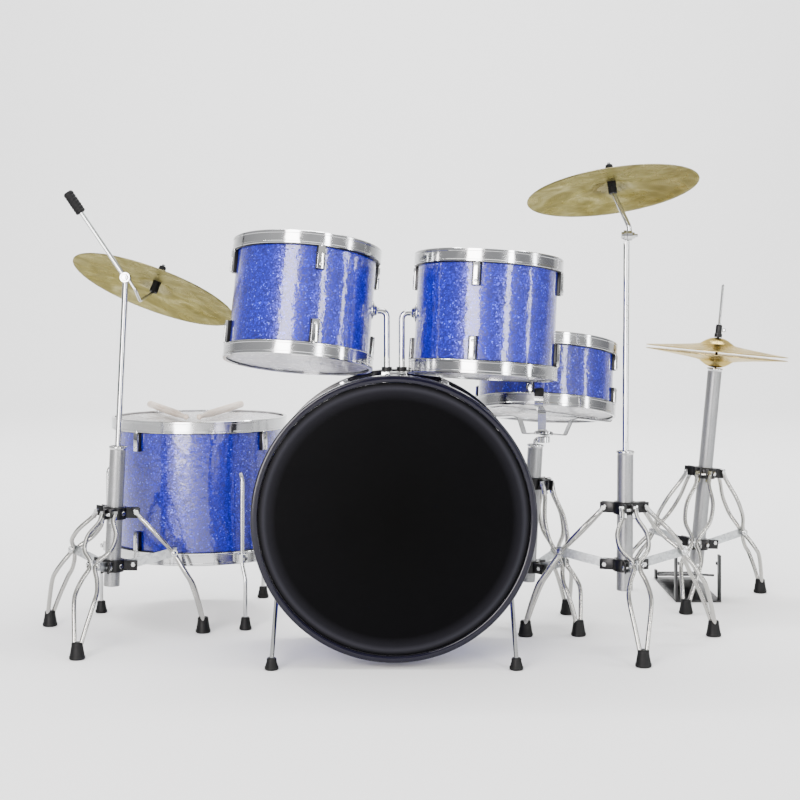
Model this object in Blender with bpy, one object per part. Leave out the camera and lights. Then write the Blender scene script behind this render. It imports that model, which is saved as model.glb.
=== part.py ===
"""Five-drum acoustic kit with two crash cymbals, hi-hat, snare stand and pedals.

Metres, +Z up. The player sits at +Y, so the bass drum's front faces -Y and +X is to the
right of someone who looks at that front. The floor is at z = 0.
"""
import math

import bmesh
import bpy
from mathutils import Matrix, Vector

for old in list(bpy.data.objects):
    bpy.data.objects.remove(old, do_unlink=True)

# ---- driving dimensions -------------------------------------------------------------
GAP = 0.0003                      # clearance between neighbours that touch
PLAY = 0.0005                     # radial clearance of a rod that slides in its tube

BASS_CENTRE = Vector((-0.064, -0.3900, 0.2252))     # middle of the front hoop's face
BASS_RADIUS = 0.2045
BASS_DEPTH = 0.250
BASS_HOOP_RADIUS = 0.2157
BASS_HOOP_DEPTH = 0.030

TOM_RADIUS = 0.1105
TOM_HEIGHT = 0.181
TOM_HOOP_RADIUS = 0.118
TOM_Y = BASS_CENTRE.y + 0.125
TOM_ARM_RADIUS = 0.005
TOM_ARM_REACH = 0.0145            # from an arm's post to the face of its boss
TOM_POST_OFFSET = 0.0118          # each post's distance from the bass drum's middle

FLOOR_TOM_CENTRE = Vector((-0.410, 0.0500, 0.2285))
FLOOR_TOM_RADIUS = 0.147
FLOOR_TOM_HEIGHT = 0.233
FLOOR_TOM_HOOP_RADIUS = 0.154
FLOOR_LEG_RADIUS = 0.0035

SNARE_HUB = Vector((0.190, -0.0580, 0.3265))          # where the basket tilts on its neck
SNARE_RADIUS = 0.1145
SNARE_HEIGHT = 0.115
SNARE_HOOP_RADIUS = 0.1205

HOOP_HEIGHT = 0.018
SHELL_WALL = 0.004
HEAD_THICKNESS = 0.0015

TUBE_RADIUS = 0.013
TUBE_WALL = 0.0016
ROD_RADIUS = 0.005
LEG_RADIUS = 0.0038
FOOT_HEIGHT = 0.026
CRASH_RADIUS = 0.1405
BOOM_CRASH_RADIUS = 0.1470
HIHAT_RADIUS = 0.1300
CYMBAL_THICKNESS = 0.0012

ROUND = 28                        # sides of a drum or a cymbal
TUBE_SIDES = 12
WIRE_SIDES = 6


# ---- finishes -----------------------------------------------------------------------
def finish(name, colour, roughness, metallic):
    made = bpy.data.materials.new(name)
    made.use_nodes = True
    shader = made.node_tree.nodes["Principled BSDF"]
    shader.inputs["Base Color"].default_value = (*colour, 1.0)
    shader.inputs["Roughness"].default_value = roughness
    shader.inputs["Metallic"].default_value = metallic
    return made


BLUE_SPARKLE = finish("blue_sparkle", (0.012, 0.020, 0.560), 0.18, 0.30)
CHROME = finish("chrome", (0.78, 0.78, 0.76), 0.12, 1.0)
GREY_TUBE = finish("grey_tube", (0.42, 0.42, 0.42), 0.42, 0.85)
BLACK_PLASTIC = finish("black_plastic", (0.012, 0.012, 0.016), 0.35, 0.0)
BLACK_FILM = finish("black_film", (0.002, 0.002, 0.003), 0.30, 0.0)
CLEAR_FILM = finish("clear_film", (0.80, 0.82, 0.84), 0.20, 0.0)
BRASS = finish("brass", (0.62, 0.52, 0.28), 0.32, 1.0)
MAPLE = finish("maple", (0.72, 0.62, 0.52), 0.50, 0.0)


# ---- ways of making a shape ---------------------------------------------------------
def pivot(name, location, rotation=(0.0, 0.0, 0.0), parent=None):
    empty = bpy.data.objects.new(name, None)
    bpy.context.scene.collection.objects.link(empty)
    empty.location = location
    empty.rotation_euler = rotation
    empty.parent = parent
    return empty


def put(name, bm, surface, parent=None, location=(0.0, 0.0, 0.0), sharp=35.0):
    bmesh.ops.recalc_face_normals(bm, faces=bm.faces)
    mesh = bpy.data.meshes.new(name)
    bm.to_mesh(mesh)
    bm.free()
    mesh.materials.append(surface)
    mesh.shade_smooth()
    mesh.set_sharp_from_angle(angle=math.radians(sharp))
    made = bpy.data.objects.new(name, mesh)
    bpy.context.scene.collection.objects.link(made)
    made.parent = parent
    made.location = location
    return made


def skin(bm, rings, closed):
    """Faces between neighbouring rings; a ring of one vertex is a point on the axis."""
    count = len(rings)
    for k in range(count if closed else count - 1):
        low, high = rings[k], rings[(k + 1) % count]
        for s in range(max(len(low), len(high))):
            corners = [low[s % len(low)], low[(s + 1) % len(low)],
                       high[(s + 1) % len(high)], high[s % len(high)]]
            corners = list(dict.fromkeys(corners))
            if len(corners) > 2:
                bm.faces.new(corners)


def turned(bm, profile, sides, place=Matrix()):
    """Solid of revolution about local Z from a list of (radius, height)."""
    rings = []
    for radius, height in profile:
        turns = sides if radius > 0 else 1
        rings.append([bm.verts.new(place @ Vector((radius * math.cos(math.tau * s / sides),
                                                   radius * math.sin(math.tau * s / sides),
                                                   height))) for s in range(turns)])
    skin(bm, rings, closed=profile[0][0] > 0 and profile[-1][0] > 0)


def disc(bm, radius, low, high, sides, place=Matrix()):
    turned(bm, [(0, low), (radius, low), (radius, high), (0, high)], sides, place)


def sleeve(bm, inner, outer, low, high, sides, place=Matrix()):
    turned(bm, [(inner, low), (outer, low), (outer, high), (inner, high)], sides, place)


def block(bm, size, place=Matrix()):
    bmesh.ops.create_cube(bm, size=1.0, matrix=place @ Matrix.Diagonal((*size, 1.0)))


def wire(bm, points, radius, sides=WIRE_SIDES):
    """Round bar through the points, with flat ends."""
    points = [Vector(p) for p in points]
    last = len(points) - 1
    side = None
    rings = []
    for k, point in enumerate(points):
        ahead = (points[min(k + 1, last)] - point).normalized() if k < last else Vector()
        behind = (point - points[k - 1]).normalized() if k > 0 else Vector()
        along = (ahead + behind).normalized()
        if side is None:
            side = along.orthogonal().normalized()
        side = (side - along * side.dot(along)).normalized()
        up = along.cross(side)
        rings.append([bm.verts.new(point + radius * (side * math.cos(math.tau * s / sides)
                                                     + up * math.sin(math.tau * s / sides)))
                      for s in range(sides)])
    skin(bm, rings, closed=False)
    bm.faces.new(rings[0])
    bm.faces.new(rings[-1])


def softened(points, reach, steps=3):
    """The same route with each corner replaced by a short curve."""
    points = [Vector(p) for p in points]
    route = [points[0]]
    for before, corner, after in zip(points, points[1:], points[2:]):
        start = corner + (before - corner).normalized() * reach
        end = corner + (after - corner).normalized() * reach
        for k in range(steps + 1):
            t = k / steps
            route.append(start * (1 - t) ** 2 + corner * 2 * t * (1 - t) + end * t ** 2)
    route.append(points[-1])
    return route


def strap(bm, outline, width, thickness, place=Matrix()):
    """Flat strip whose middle line is the outline in local X and Z, width along local Y."""
    outline = [Vector((x, 0.0, z)) for x, z in outline]
    last = len(outline) - 1
    rings = []
    for k, point in enumerate(outline):
        ahead = (outline[min(k + 1, last)] - point).normalized() if k < last else Vector()
        behind = (point - outline[k - 1]).normalized() if k > 0 else Vector()
        along = (ahead + behind).normalized()
        corner = 1.0 if k in (0, last) else max(0.5, ahead.dot(along))
        up = Vector((-along.z, 0.0, along.x)) * thickness / 2 / corner
        half = Vector((0.0, width / 2, 0.0))
        rings.append([bm.verts.new(place @ (point + shift))
                      for shift in (up + half, up - half, -up - half, -up + half)])
    skin(bm, rings, closed=False)
    bm.faces.new(rings[0])
    bm.faces.new(rings[-1])


def around(degrees, radius=0.0, height=0.0):
    """Placement at a radius and height, turned about Z so that local X points outwards."""
    return (Matrix.Rotation(math.radians(degrees), 4, "Z")
            @ Matrix.Translation((radius, 0.0, height)))


def aimed(origin, direction):
    """Placement at the origin with local Z along the direction."""
    turn = Vector(direction).normalized().to_track_quat("Z", "Y").to_matrix().to_4x4()
    return Matrix.Translation(origin) @ turn


# ---- drums --------------------------------------------------------------------------
def merged(target, bm, operation="UNION"):
    """Joins a hidden helper shape to an object, or cuts it out of it."""
    helper = put(f"{target.name}_helper_{len(target.modifiers)}", bm,
                 target.data.materials[0], target.parent, target.location)
    helper.hide_render = True
    helper.display_type = "WIRE"
    step = target.modifiers.new(operation.lower(), "BOOLEAN")
    step.operation = operation
    step.solver = "EXACT"
    step.object = helper


class DrumPlan:
    """Sizes of one drum along its own axis, local Z, with its middle at the origin."""

    def __init__(self, word, radius, hoop_radius, height, sides=ROUND, hoop=HOOP_HEIGHT,
                 flange=0.0025):
        self.word = word
        self.radius = radius
        self.hoop_radius = hoop_radius
        self.height = height
        self.sides = sides
        self.hoop = hoop
        self.flange = flange
        self.head_seat = height / 2 + GAP
        self.lip = self.head_seat + HEAD_THICKNESS + GAP
        self.top = self.lip + flange


def shell(plan, parent, location, fittings):
    bm = bmesh.new()
    sleeve(bm, plan.radius - SHELL_WALL, plan.radius, -plan.height / 2, plan.height / 2,
           plan.sides)
    made = put(f"{plan.word}_shell", bm, BLUE_SPARKLE, parent, location)
    merged(made, fittings)


def heads_and_hoops(plan, parent, location, ends, hoop_finish, clamps=None):
    """A thin head over each edge of the shell, inside a plain band."""
    for end, word in ends:
        bm = bmesh.new()
        levels = sorted((end * plan.head_seat, end * (plan.head_seat + HEAD_THICKNESS)))
        disc(bm, plan.radius, levels[0], levels[1], plan.sides)
        film = BLACK_FILM if word == "front" else CLEAR_FILM
        put(f"{plan.word}_{word}_head", bm, film, parent, location)
        bm = bmesh.new()
        levels = sorted((end * (plan.lip - plan.hoop), end * plan.top))
        sleeve(bm, plan.radius + 0.0012, plan.hoop_radius, levels[0], levels[1], plan.sides)
        made = put(f"{plan.word}_{word}_hoop", bm, hoop_finish, parent, location)
        if clamps and end < 0:
            merged(made, clamps)


def strip_lugs(bm, plan, azimuths, size, root=0.0015):
    """Plain upright lugs near both edges of a shell, sunk a little into its wall."""
    deep, wide, tall = size
    level = plan.lip - plan.hoop - 0.0005 - tall / 2
    for azimuth in azimuths:
        for end in (-1, 1):
            block(bm, (deep + root, wide, tall),
                  around(azimuth, plan.radius + (deep - root) / 2, end * level))


def quarter_turns(first):
    return [first + 90.0 * k for k in range(4)]


TOP_AND_BOTTOM = ((1, "top"), (-1, "bottom"))


# ---- bass drum ----------------------------------------------------------------------
SPUR_BRACKET_AZIMUTH = 34.0       # below the horizontal, each side
SPUR_BRACKET_Y = BASS_CENTRE.y + 0.062
SPUR_TIP_X = 0.1835
SPUR_TIP_Y = BASS_CENTRE.y + 0.0015
SPUR_FOOT = 0.018
SPUR_SEAT = 0.0070                # a bracket's height above the shell
BASS = DrumPlan("bass", BASS_RADIUS, BASS_HOOP_RADIUS,
                BASS_DEPTH - 2 * (HEAD_THICKNESS + 2 * GAP + 0.003), 36, BASS_HOOP_DEPTH,
                0.0030)


def spur_direction(side):
    fall = math.radians(SPUR_BRACKET_AZIMUTH)
    return Vector((side * math.cos(fall), 0.0, -math.sin(fall)))


def bass_drum():
    lay = Matrix.Rotation(math.radians(90.0), 4, "X")         # local Z points forwards, -Y
    centre = BASS_CENTRE + Vector((0.0, BASS_DEPTH / 2, 0.0))
    home = pivot("bass_drum_centre", centre, lay.to_euler())
    here = (0.0, 0.0, 0.0)
    bm = bmesh.new()
    strip_lugs(bm, BASS, [22.5 + 45.0 * k for k in range(8)], (0.010, 0.016, 0.045))
    into = (Matrix.Translation(centre) @ lay).inverted()
    for side in (-1, 1):
        out = spur_direction(side)
        seat = Vector((BASS_CENTRE.x, SPUR_BRACKET_Y, BASS_CENTRE.z)) + out * BASS_RADIUS
        disc(bm, 0.0140, -0.0030, SPUR_SEAT, TUBE_SIDES, into @ aimed(seat, out))
    shell(BASS, home, here, bm)
    heads_and_hoops(BASS, home, here, ((1, "front"), (-1, "back")), BLACK_PLASTIC)


def spurs():
    """Two rods under the front of the bass drum, each turning on its bracket."""
    for side, word in ((-1, "left"), (1, "right")):
        out = spur_direction(side)
        hub = (Vector((BASS_CENTRE.x, SPUR_BRACKET_Y, BASS_CENTRE.z))
               + out * (BASS_RADIUS + SPUR_SEAT + GAP * 2))
        turn = out.to_track_quat("Z", "Y")
        home = pivot(f"spur_{word}_fold", hub, turn.to_euler())
        into = (Matrix.Translation(hub) @ turn.to_matrix().to_4x4()).inverted()
        tip = into @ Vector((BASS_CENTRE.x + side * SPUR_TIP_X, SPUR_TIP_Y, SPUR_FOOT - 0.004))
        ground = Vector((BASS_CENTRE.x + side * SPUR_TIP_X, SPUR_TIP_Y, 0.0))
        bm = bmesh.new()
        disc(bm, 0.0090, 0.0, 0.0100, TUBE_SIDES)
        made = put(f"bass_spur_{word}", bm, CHROME, home)
        bm = bmesh.new()
        wire(bm, [Vector((0.0, 0.0, 0.0050)), tip], 0.0035)
        merged(made, bm)
        bm = bmesh.new()
        disc(bm, 0.0105, 0.0, SPUR_FOOT, TUBE_SIDES, into @ Matrix.Translation(ground))
        merged(made, bm)


# ---- toms on the bass drum ----------------------------------------------------------
def tom_mount():
    """Block on the bass drum's top whose two bores hold the tom arms' posts."""
    deck = BASS_CENTRE.z + BASS_RADIUS + 0.0008
    high = 0.0105
    middle = Vector((BASS_CENTRE.x, TOM_Y, deck + high / 2))
    bm = bmesh.new()
    block(bm, (2 * TOM_POST_OFFSET + 0.017, 0.022, high), Matrix.Translation(middle))
    made = put("tom_mount", bm, CHROME)
    bm = bmesh.new()
    for side in (-1, 1):
        spot = Vector((BASS_CENTRE.x + side * TOM_POST_OFFSET, TOM_Y, deck))
        disc(bm, TOM_ARM_RADIUS + PLAY, -0.002, high + 0.002, TUBE_SIDES,
             Matrix.Translation(spot))
    merged(made, bm, "DIFFERENCE")


class TomPlan:
    """Where one tom hangs: its side, its lean and the height of its boss."""

    def __init__(self, word, side, boss_z, lean_back, lean_side, lug_azimuth):
        self.word = word
        self.side = side
        self.boss_z = boss_z
        self.lean = (math.radians(-lean_back), math.radians(lean_side), 0.0)
        self.lug_azimuth = lug_azimuth


TOMS = (TomPlan("left", -1, 0.5370, 10.0, 4.4, -76.0),
        TomPlan("right", 1, 0.5340, 5.0, 3.4, -102.0))


def tom(plan):
    post_x = BASS_CENTRE.x + plan.side * TOM_POST_OFFSET
    post = pivot(f"tom_{plan.word}_swivel", (post_x, TOM_Y, plan.boss_z))
    foot = BASS_CENTRE.z + BASS_RADIUS + 0.0012 - plan.boss_z
    bm = bmesh.new()
    bend = TOM_ARM_REACH - 0.0030
    route = softened([(0.0, 0.0, foot), (0.0, 0.0, 0.0), (plan.side * TOM_ARM_REACH, 0.0, 0.0)],
                     bend, 4)
    wire(bm, route, TOM_ARM_RADIUS, 8)
    put(f"tom_arm_{plan.word}", bm, CHROME, post)

    boss_face = plan.side * (TOM_ARM_REACH + 3 * GAP)
    home = pivot(f"tom_{plan.word}_tilt", (post_x + boss_face, TOM_Y, plan.boss_z), plan.lean)
    boss_depth = 0.0060
    offset = Vector((plan.side * (boss_depth + GAP * 3 + TOM_RADIUS), 0.0, 0.0))
    drum = DrumPlan(f"tom_{plan.word}", TOM_RADIUS, TOM_HOOP_RADIUS, TOM_HEIGHT)
    bm = bmesh.new()
    strip_lugs(bm, drum, quarter_turns(plan.lug_azimuth), (0.009, 0.014, 0.036))
    turned(bm, [(0.0, 0.0), (0.007, 0.0), (0.0155, boss_depth),
                (0.0155, boss_depth + 0.0030), (0.0, boss_depth + 0.0030)],
           TUBE_SIDES, aimed(-offset, (plan.side, 0.0, 0.0)))
    shell(drum, home, offset, bm)
    heads_and_hoops(drum, home, offset, TOP_AND_BOTTOM, CHROME)


# ---- floor tom ----------------------------------------------------------------------
FLOOR_LEG_AZIMUTHS = (-57.0, 55.0, 180.0)
FLOOR_LEG_UPPER = FLOOR_TOM_HOOP_RADIUS + 0.0085
FLOOR_LEG_LOWER = FLOOR_TOM_HOOP_RADIUS + 0.0205
FLOOR_FOOT_HEIGHT = 0.021


FLOOR_TOM = DrumPlan("floor_tom", FLOOR_TOM_RADIUS, FLOOR_TOM_HOOP_RADIUS,
                     FLOOR_TOM_HEIGHT)


def floor_tom():
    home = pivot("floor_tom_slide", FLOOR_TOM_CENTRE)
    here = (0.0, 0.0, 0.0)
    bm = bmesh.new()
    strip_lugs(bm, FLOOR_TOM, quarter_turns(-127.0), (0.009, 0.012, 0.032))
    shell(FLOOR_TOM, home, here, bm)
    clamps = bmesh.new()
    low = -FLOOR_TOM.lip + 0.0010
    for azimuth in FLOOR_LEG_AZIMUTHS:
        sleeve(clamps, FLOOR_LEG_RADIUS + PLAY, 0.0095, low, low + 0.0155, TUBE_SIDES,
               around(azimuth, FLOOR_LEG_UPPER))
    heads_and_hoops(FLOOR_TOM, home, here, TOP_AND_BOTTOM, CHROME, clamps)
    for number, azimuth in enumerate(FLOOR_LEG_AZIMUTHS, 1):
        floor_tom_leg(number, azimuth)
    drumsticks(home)


def floor_tom_leg(number, azimuth):
    """Wire leg, hooked inwards at its top and cranked outwards below its clamp."""
    ground = Matrix.Translation((FLOOR_TOM_CENTRE.x, FLOOR_TOM_CENTRE.y, 0.0))
    turn = ground @ Matrix.Rotation(math.radians(azimuth), 4, "Z")
    route = softened([(FLOOR_LEG_UPPER - 0.0065, 0.0, 0.2600),
                      (FLOOR_LEG_UPPER, 0.0, 0.2520),
                      (FLOOR_LEG_UPPER, 0.0, 0.1080),
                      (FLOOR_LEG_LOWER, 0.0, 0.0840),
                      (FLOOR_LEG_LOWER, 0.0, FLOOR_FOOT_HEIGHT - 0.005)], 0.005, 2)
    bm = bmesh.new()
    wire(bm, [turn @ p for p in route], FLOOR_LEG_RADIUS)
    made = put(f"floor_tom_leg_{number}", bm, CHROME)
    bm = bmesh.new()
    disc(bm, 0.0105, 0.0, FLOOR_FOOT_HEIGHT, 12,
         turn @ Matrix.Translation((FLOOR_LEG_LOWER, 0.0, 0.0)))
    merged(made, bm)


def drumsticks(home):
    """A pair laid over the floor tom, tips on the head and butts over the far hoop."""
    radius = 0.0065
    head = FLOOR_TOM.head_seat + HEAD_THICKNESS
    for word, tip_x, butt_x in (("left", -0.0070, -0.1150), ("right", 0.0125, 0.0560)):
        tip = Vector((tip_x, -0.118, head + radius + 0.0016))
        butt = Vector((butt_x, 0.172, FLOOR_TOM.top + radius + 0.0022))
        length = (butt - tip).length
        profile = [(0.0, 0.0), (0.0038, 0.0012), (0.0048, 0.0060), (0.0030, 0.0120),
                   (radius, 0.0700), (radius, length - 0.0030), (0.0040, length),
                   (0.0, length)]
        bm = bmesh.new()
        turned(bm, profile, 12, aimed(tip, butt - tip))
        put(f"drumstick_{word}", bm, MAPLE, home)


# ---- tripod stands ------------------------------------------------------------------
class StandPlan:
    """A tripod: where it stands, how its tube leans, and the levels along the tube."""

    def __init__(self, word, x, y, lean, tube, collar, clamp, spread, azimuths,
                 bore=ROD_RADIUS + PLAY):
        self.word = word
        self.base = Vector((x, y, 0.0))
        self.lean = math.radians(lean)
        self.axis = Vector((math.sin(self.lean), 0.0, math.cos(self.lean)))
        self.tube_low, self.tube_high = tube
        self.collar = collar
        self.clamp = clamp
        self.spread = spread
        self.azimuths = azimuths
        self.bore = bore

    def at(self, height):
        return self.base + self.axis * (height / self.axis.z)

    def rotation(self):
        return (0.0, self.lean, 0.0)


HIHAT_ROD_RADIUS = 0.0025
STANDS = {
    "left": StandPlan("left", -0.5315, -0.1650, lean=2.6, tube=(0.086, 0.315), collar=0.196,
                      clamp=0.110, spread=0.155, azimuths=(17.0, 140.0, 262.0)),
    "right": StandPlan("right", 0.3070, -0.2050, lean=0.3, tube=(0.086, 0.311), collar=0.209,
                       clamp=0.117, spread=0.165, azimuths=(20.0, 160.0, 272.0)),
    "hihat": StandPlan("hihat", 0.4890, 0.1850, lean=5.5, tube=(0.066, 0.428), collar=0.2236,
                       clamp=0.092, spread=0.150, azimuths=(23.0, 140.0, 255.0),
                       bore=HIHAT_ROD_RADIUS + PLAY),
    "snare": StandPlan("snare", 0.1580, -0.0550, lean=3.4, tube=(0.074, 0.308), collar=0.232,
                       clamp=0.090, spread=0.122, azimuths=(-48.0, 48.0, 180.0)),
}
EAR_REACH = 0.040
EAR_WIDTH = 0.014
COLLAR_HEIGHT = 0.020


def collar_ears(bm, plan, height):
    """Three blocks round the tube that hold the tops of the legs, or the braces."""
    place = (Matrix.Translation(plan.at(height + COLLAR_HEIGHT / 2))
             @ Matrix.Rotation(plan.lean, 4, "Y"))
    inner = TUBE_RADIUS + 0.0030
    for azimuth in plan.azimuths:
        block(bm, (EAR_REACH - inner, EAR_WIDTH, COLLAR_HEIGHT - 0.0020),
              place @ around(azimuth, (EAR_REACH + inner) / 2))


def collar_ring(bm, plan, height):
    sleeve(bm, TUBE_RADIUS + GAP * 2, TUBE_RADIUS + 0.0060, 0.0, COLLAR_HEIGHT, TUBE_SIDES,
           Matrix.Translation(plan.at(height)) @ Matrix.Rotation(plan.lean, 4, "Y"))


LEG_STATIONS = ((0.00, 0.0114), (0.16, 0.0122), (0.40, 0.0225), (0.70, 0.0225),
                (0.96, 0.0052))         # share of the way to the knee, half width there
KNEE_STATIONS = ((0.10, 0.0052), (0.50, 0.0165), (1.00, 0.0165))


def tripod(plan):
    """Two collars, three double legs, their braces and feet, joined by their bolts."""
    bm = bmesh.new()
    collar_ring(bm, plan, plan.collar)
    made = put(f"{plan.word}_stand_tripod", bm, CHROME)
    rods = bmesh.new()
    ends = bmesh.new()
    braces = bmesh.new()
    bolts = bmesh.new()
    ears = bmesh.new()
    collar_ring(ends, plan, plan.clamp)
    for height in (plan.collar, plan.clamp):
        collar_ears(ears, plan, height)
    hub = plan.at(plan.collar + COLLAR_HEIGHT / 2)
    knee_radius = 0.62 * (plan.spread - EAR_REACH) + EAR_REACH - 0.012
    for azimuth in plan.azimuths:
        out = Vector((math.cos(math.radians(azimuth)), math.sin(math.radians(azimuth)), 0.0))
        across = Vector((-out.y, out.x, 0.0))
        start = hub + out * (EAR_REACH - 0.007)
        knee = plan.at(plan.clamp + 0.026) + out * knee_radius
        foot = plan.base + out * plan.spread + Vector((0.0, 0.0, FOOT_HEIGHT - 0.008))
        low = knee.lerp(foot, 0.55) + out * 0.008 + Vector((0.0, 0.0, 0.004))
        route = [(start.lerp(knee, t), half) for t, half in LEG_STATIONS]
        route += [(knee.lerp(low, t), half) for t, half in KNEE_STATIONS]
        route += [(foot, 0.0050)]
        for side in (-1, 1):
            wire(rods, [middle + across * side * half for middle, half in route], LEG_RADIUS)
        disc(ends, 0.0125, 0.0, FOOT_HEIGHT, 8, Matrix.Translation((foot.x, foot.y, 0.0)))
        disc(bolts, 0.0026, -0.0165, 0.0165, 6, aimed(start + (knee - start) * 0.03, across))
        disc(bolts, 0.0030, -0.0105, 0.0105, 6, aimed(knee, across))
        root = plan.at(plan.clamp + COLLAR_HEIGHT / 2) + out * (EAR_REACH - 0.008)
        reach = knee - root
        turn = math.degrees(math.atan2(reach.y, reach.x))
        strap(braces, [(0.0, 0.0), (math.hypot(reach.x, reach.y) + 0.005, reach.z)],
              0.0018, 0.015, Matrix.Translation(root) @ around(turn))
    for extra in (ears, rods, ends, braces, bolts):
        merged(made, extra)


def stands():
    for plan in STANDS.values():
        inner = TUBE_RADIUS - TUBE_WALL
        bush = plan.tube_high - 0.016
        bm = bmesh.new()
        turned(bm, [(inner, plan.tube_low), (TUBE_RADIUS, plan.tube_low),
                    (TUBE_RADIUS, plan.tube_high - 0.004),
                    (TUBE_RADIUS + 0.0015, plan.tube_high - 0.003),
                    (TUBE_RADIUS + 0.0015, plan.tube_high), (plan.bore, plan.tube_high),
                    (plan.bore, bush), (inner, bush)], TUBE_SIDES)
        home = pivot(f"{plan.word}_stand_axis", plan.base, plan.rotation())
        put(f"{plan.word}_stand_tube", bm, GREY_TUBE, home)
        tripod(plan)


# ---- cymbals ------------------------------------------------------------------------
HOLE_RADIUS = 0.0045


def cymbal(bm, radius, rise, place):
    """Thin bowed disc with a bell; local z = 0 is the plane of the rim."""
    bell = 0.24 * radius
    upper = [(HOLE_RADIUS, rise), (0.50 * bell, rise * 0.92), (bell, rise * 0.48),
             (0.62 * radius, rise * 0.20), (radius, 0.0)]
    lower = [(r, z - CYMBAL_THICKNESS) for r, z in reversed(upper)]
    turned(bm, upper + lower, ROUND, place)


BOLT_RADIUS = 0.0028
EYE_RADIUS = 0.0085
EYE = 0.0049                      # thickness of the fixed eye, below the plane z = 0
MOVING_EYE = 0.0088               # top of the eye that turns, above that plane
ARM_LEVEL = 0.0045                # height of the middle of the moving eye's arm


def pivot_bolt(bm, place):
    """Bolt with its head, the fixed eye and the nut; z = 0 is the plane between the eyes."""
    head = 0.0036
    nut = MOVING_EYE + GAP
    turned(bm, [(0.0, -EYE - head), (0.0058, -EYE - head), (0.0058, -EYE), (EYE_RADIUS, -EYE),
                (EYE_RADIUS, -GAP), (BOLT_RADIUS, -GAP), (BOLT_RADIUS, nut),
                (0.0060, nut), (0.0060, nut + 0.0042), (BOLT_RADIUS, nut + 0.0042),
                (BOLT_RADIUS, nut + 0.0090), (0.0, nut + 0.0090)], 8, place)


def moving_eye(name, home, bolt_axis):
    bm = bmesh.new()
    sleeve(bm, BOLT_RADIUS + PLAY, EYE_RADIUS, GAP, MOVING_EYE, TUBE_SIDES,
           aimed((0.0, 0.0, 0.0), bolt_axis))
    return put(name, bm, CHROME, home)


def upper_rod(plan, top, bolt_axis):
    """Rod that slides in the stand's tube and carries the pivot's bolt at its top."""
    home = pivot(f"{plan.word}_rod_slide", plan.at(plan.tube_high), plan.rotation())
    rise = (plan.at(top) - plan.at(plan.tube_high)).length
    bm = bmesh.new()
    neck = rise - EYE_RADIUS - 0.0010
    wire(bm, [(0.0, 0.0, -0.120), (0.0, 0.0, neck)], ROD_RADIUS, 8)
    made = put(f"{plan.word}_rod", bm, CHROME, home)
    aside = aimed(Vector(bolt_axis) * -EYE / 2 + Vector((0.0, 0.0, neck)), bolt_axis)
    bm = bmesh.new()
    block(bm, (0.0070, 0.0070, EYE - 0.0010), aside)
    merged(made, bm)
    bm = bmesh.new()
    pivot_bolt(bm, aimed((0.0, 0.0, rise), bolt_axis))
    merged(made, bm)


# Boom crash on the left: the rim's centre and the direction its bell points in.
BOOM_CRASH_CENTRE = Vector((-0.4800, -0.0230, 0.5710))
BOOM_CRASH_UP = Vector((0.306, 0.290, 0.907)).normalized()
BOOM_PIVOT_HEIGHT = 0.591
BOOM_END = Vector((-0.0930, 0.0, 0.1370))           # from the pivot towards the grip's end
BOOM_GRIP = (0.1280, 0.1680)                        # distances of the grip's ends
RIGHT_PIVOT_HEIGHT = 0.658
RIGHT_CRASH_CENTRE = Vector((0.2914, -0.1820, 0.7310))
RIGHT_CRASH_UP = Vector((-0.113, 0.217, 0.970)).normalized()
CRASH_RISE = 0.020
LOW_SLEEVE = (-0.0040, 0.0178)
HIGH_SLEEVE = (0.0206, 0.0450)
POST_RADIUS = 0.0028


def crash_post(made, centre, up):
    """Thin post through the cymbal's hole, with a sleeve below and above the bell."""
    wide = 0.0072
    bm = bmesh.new()
    turned(bm, [(0.0, LOW_SLEEVE[0]), (wide, LOW_SLEEVE[0]), (wide, LOW_SLEEVE[1]),
                (POST_RADIUS, LOW_SLEEVE[1]), (POST_RADIUS, HIGH_SLEEVE[0]),
                (wide, HIGH_SLEEVE[0]), (wide, HIGH_SLEEVE[1]), (POST_RADIUS, HIGH_SLEEVE[1]),
                (POST_RADIUS, HIGH_SLEEVE[1] + 0.0040), (0.0, HIGH_SLEEVE[1] + 0.0040)],
           8, aimed(centre, up))
    merged(made, bm)


def left_crash():
    plan = STANDS["left"]
    upper_rod(plan, BOOM_PIVOT_HEIGHT, (0.0, -1.0, 0.0))
    home = pivot("left_boom_tilt", plan.at(BOOM_PIVOT_HEIGHT))
    centre = BOOM_CRASH_CENTRE - home.location
    made = moving_eye("left_boom", home, (0.0, -1.0, 0.0))
    aside = Vector((0.0, -ARM_LEVEL, 0.0))
    along = Vector((BOOM_END.x, 0.0, BOOM_END.z)).normalized()
    grip_low, grip_high = BOOM_GRIP
    bm = bmesh.new()
    wire(bm, [aside + along * 0.0062, aside + along * (grip_low + 0.010)], 0.0036, 8)
    merged(made, bm)
    bm = bmesh.new()
    turned(bm, [(0.0, grip_low), (0.0085, grip_low), (0.0085, grip_high - 0.0020),
                (0.0065, grip_high), (0.0, grip_high)], 8, aimed(aside, along))
    merged(made, bm)
    seat = centre + BOOM_CRASH_UP * LOW_SLEEVE[0]
    bm = bmesh.new()
    wire(bm, softened([aside + Vector((0.0060, 0.0, -0.0035)),
                       aside + Vector((0.0170, 0.0, -0.0210)),
                       Vector((0.0200, 0.0220, -0.0380)), seat,
                       seat + BOOM_CRASH_UP * 0.0050], 0.0012, 2), 0.0029, 6)
    merged(made, bm)
    crash_post(made, centre, BOOM_CRASH_UP)
    loose_cymbal("left", BOOM_CRASH_CENTRE, BOOM_CRASH_UP, BOOM_CRASH_RADIUS)


def loose_cymbal(word, centre, up, radius):
    spin = pivot(f"{word}_crash_spin", centre, up.to_track_quat("Z", "Y").to_euler())
    bm = bmesh.new()
    cymbal(bm, radius, CRASH_RISE, Matrix())
    put(f"{word}_crash_cymbal", bm, BRASS, spin)


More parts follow.
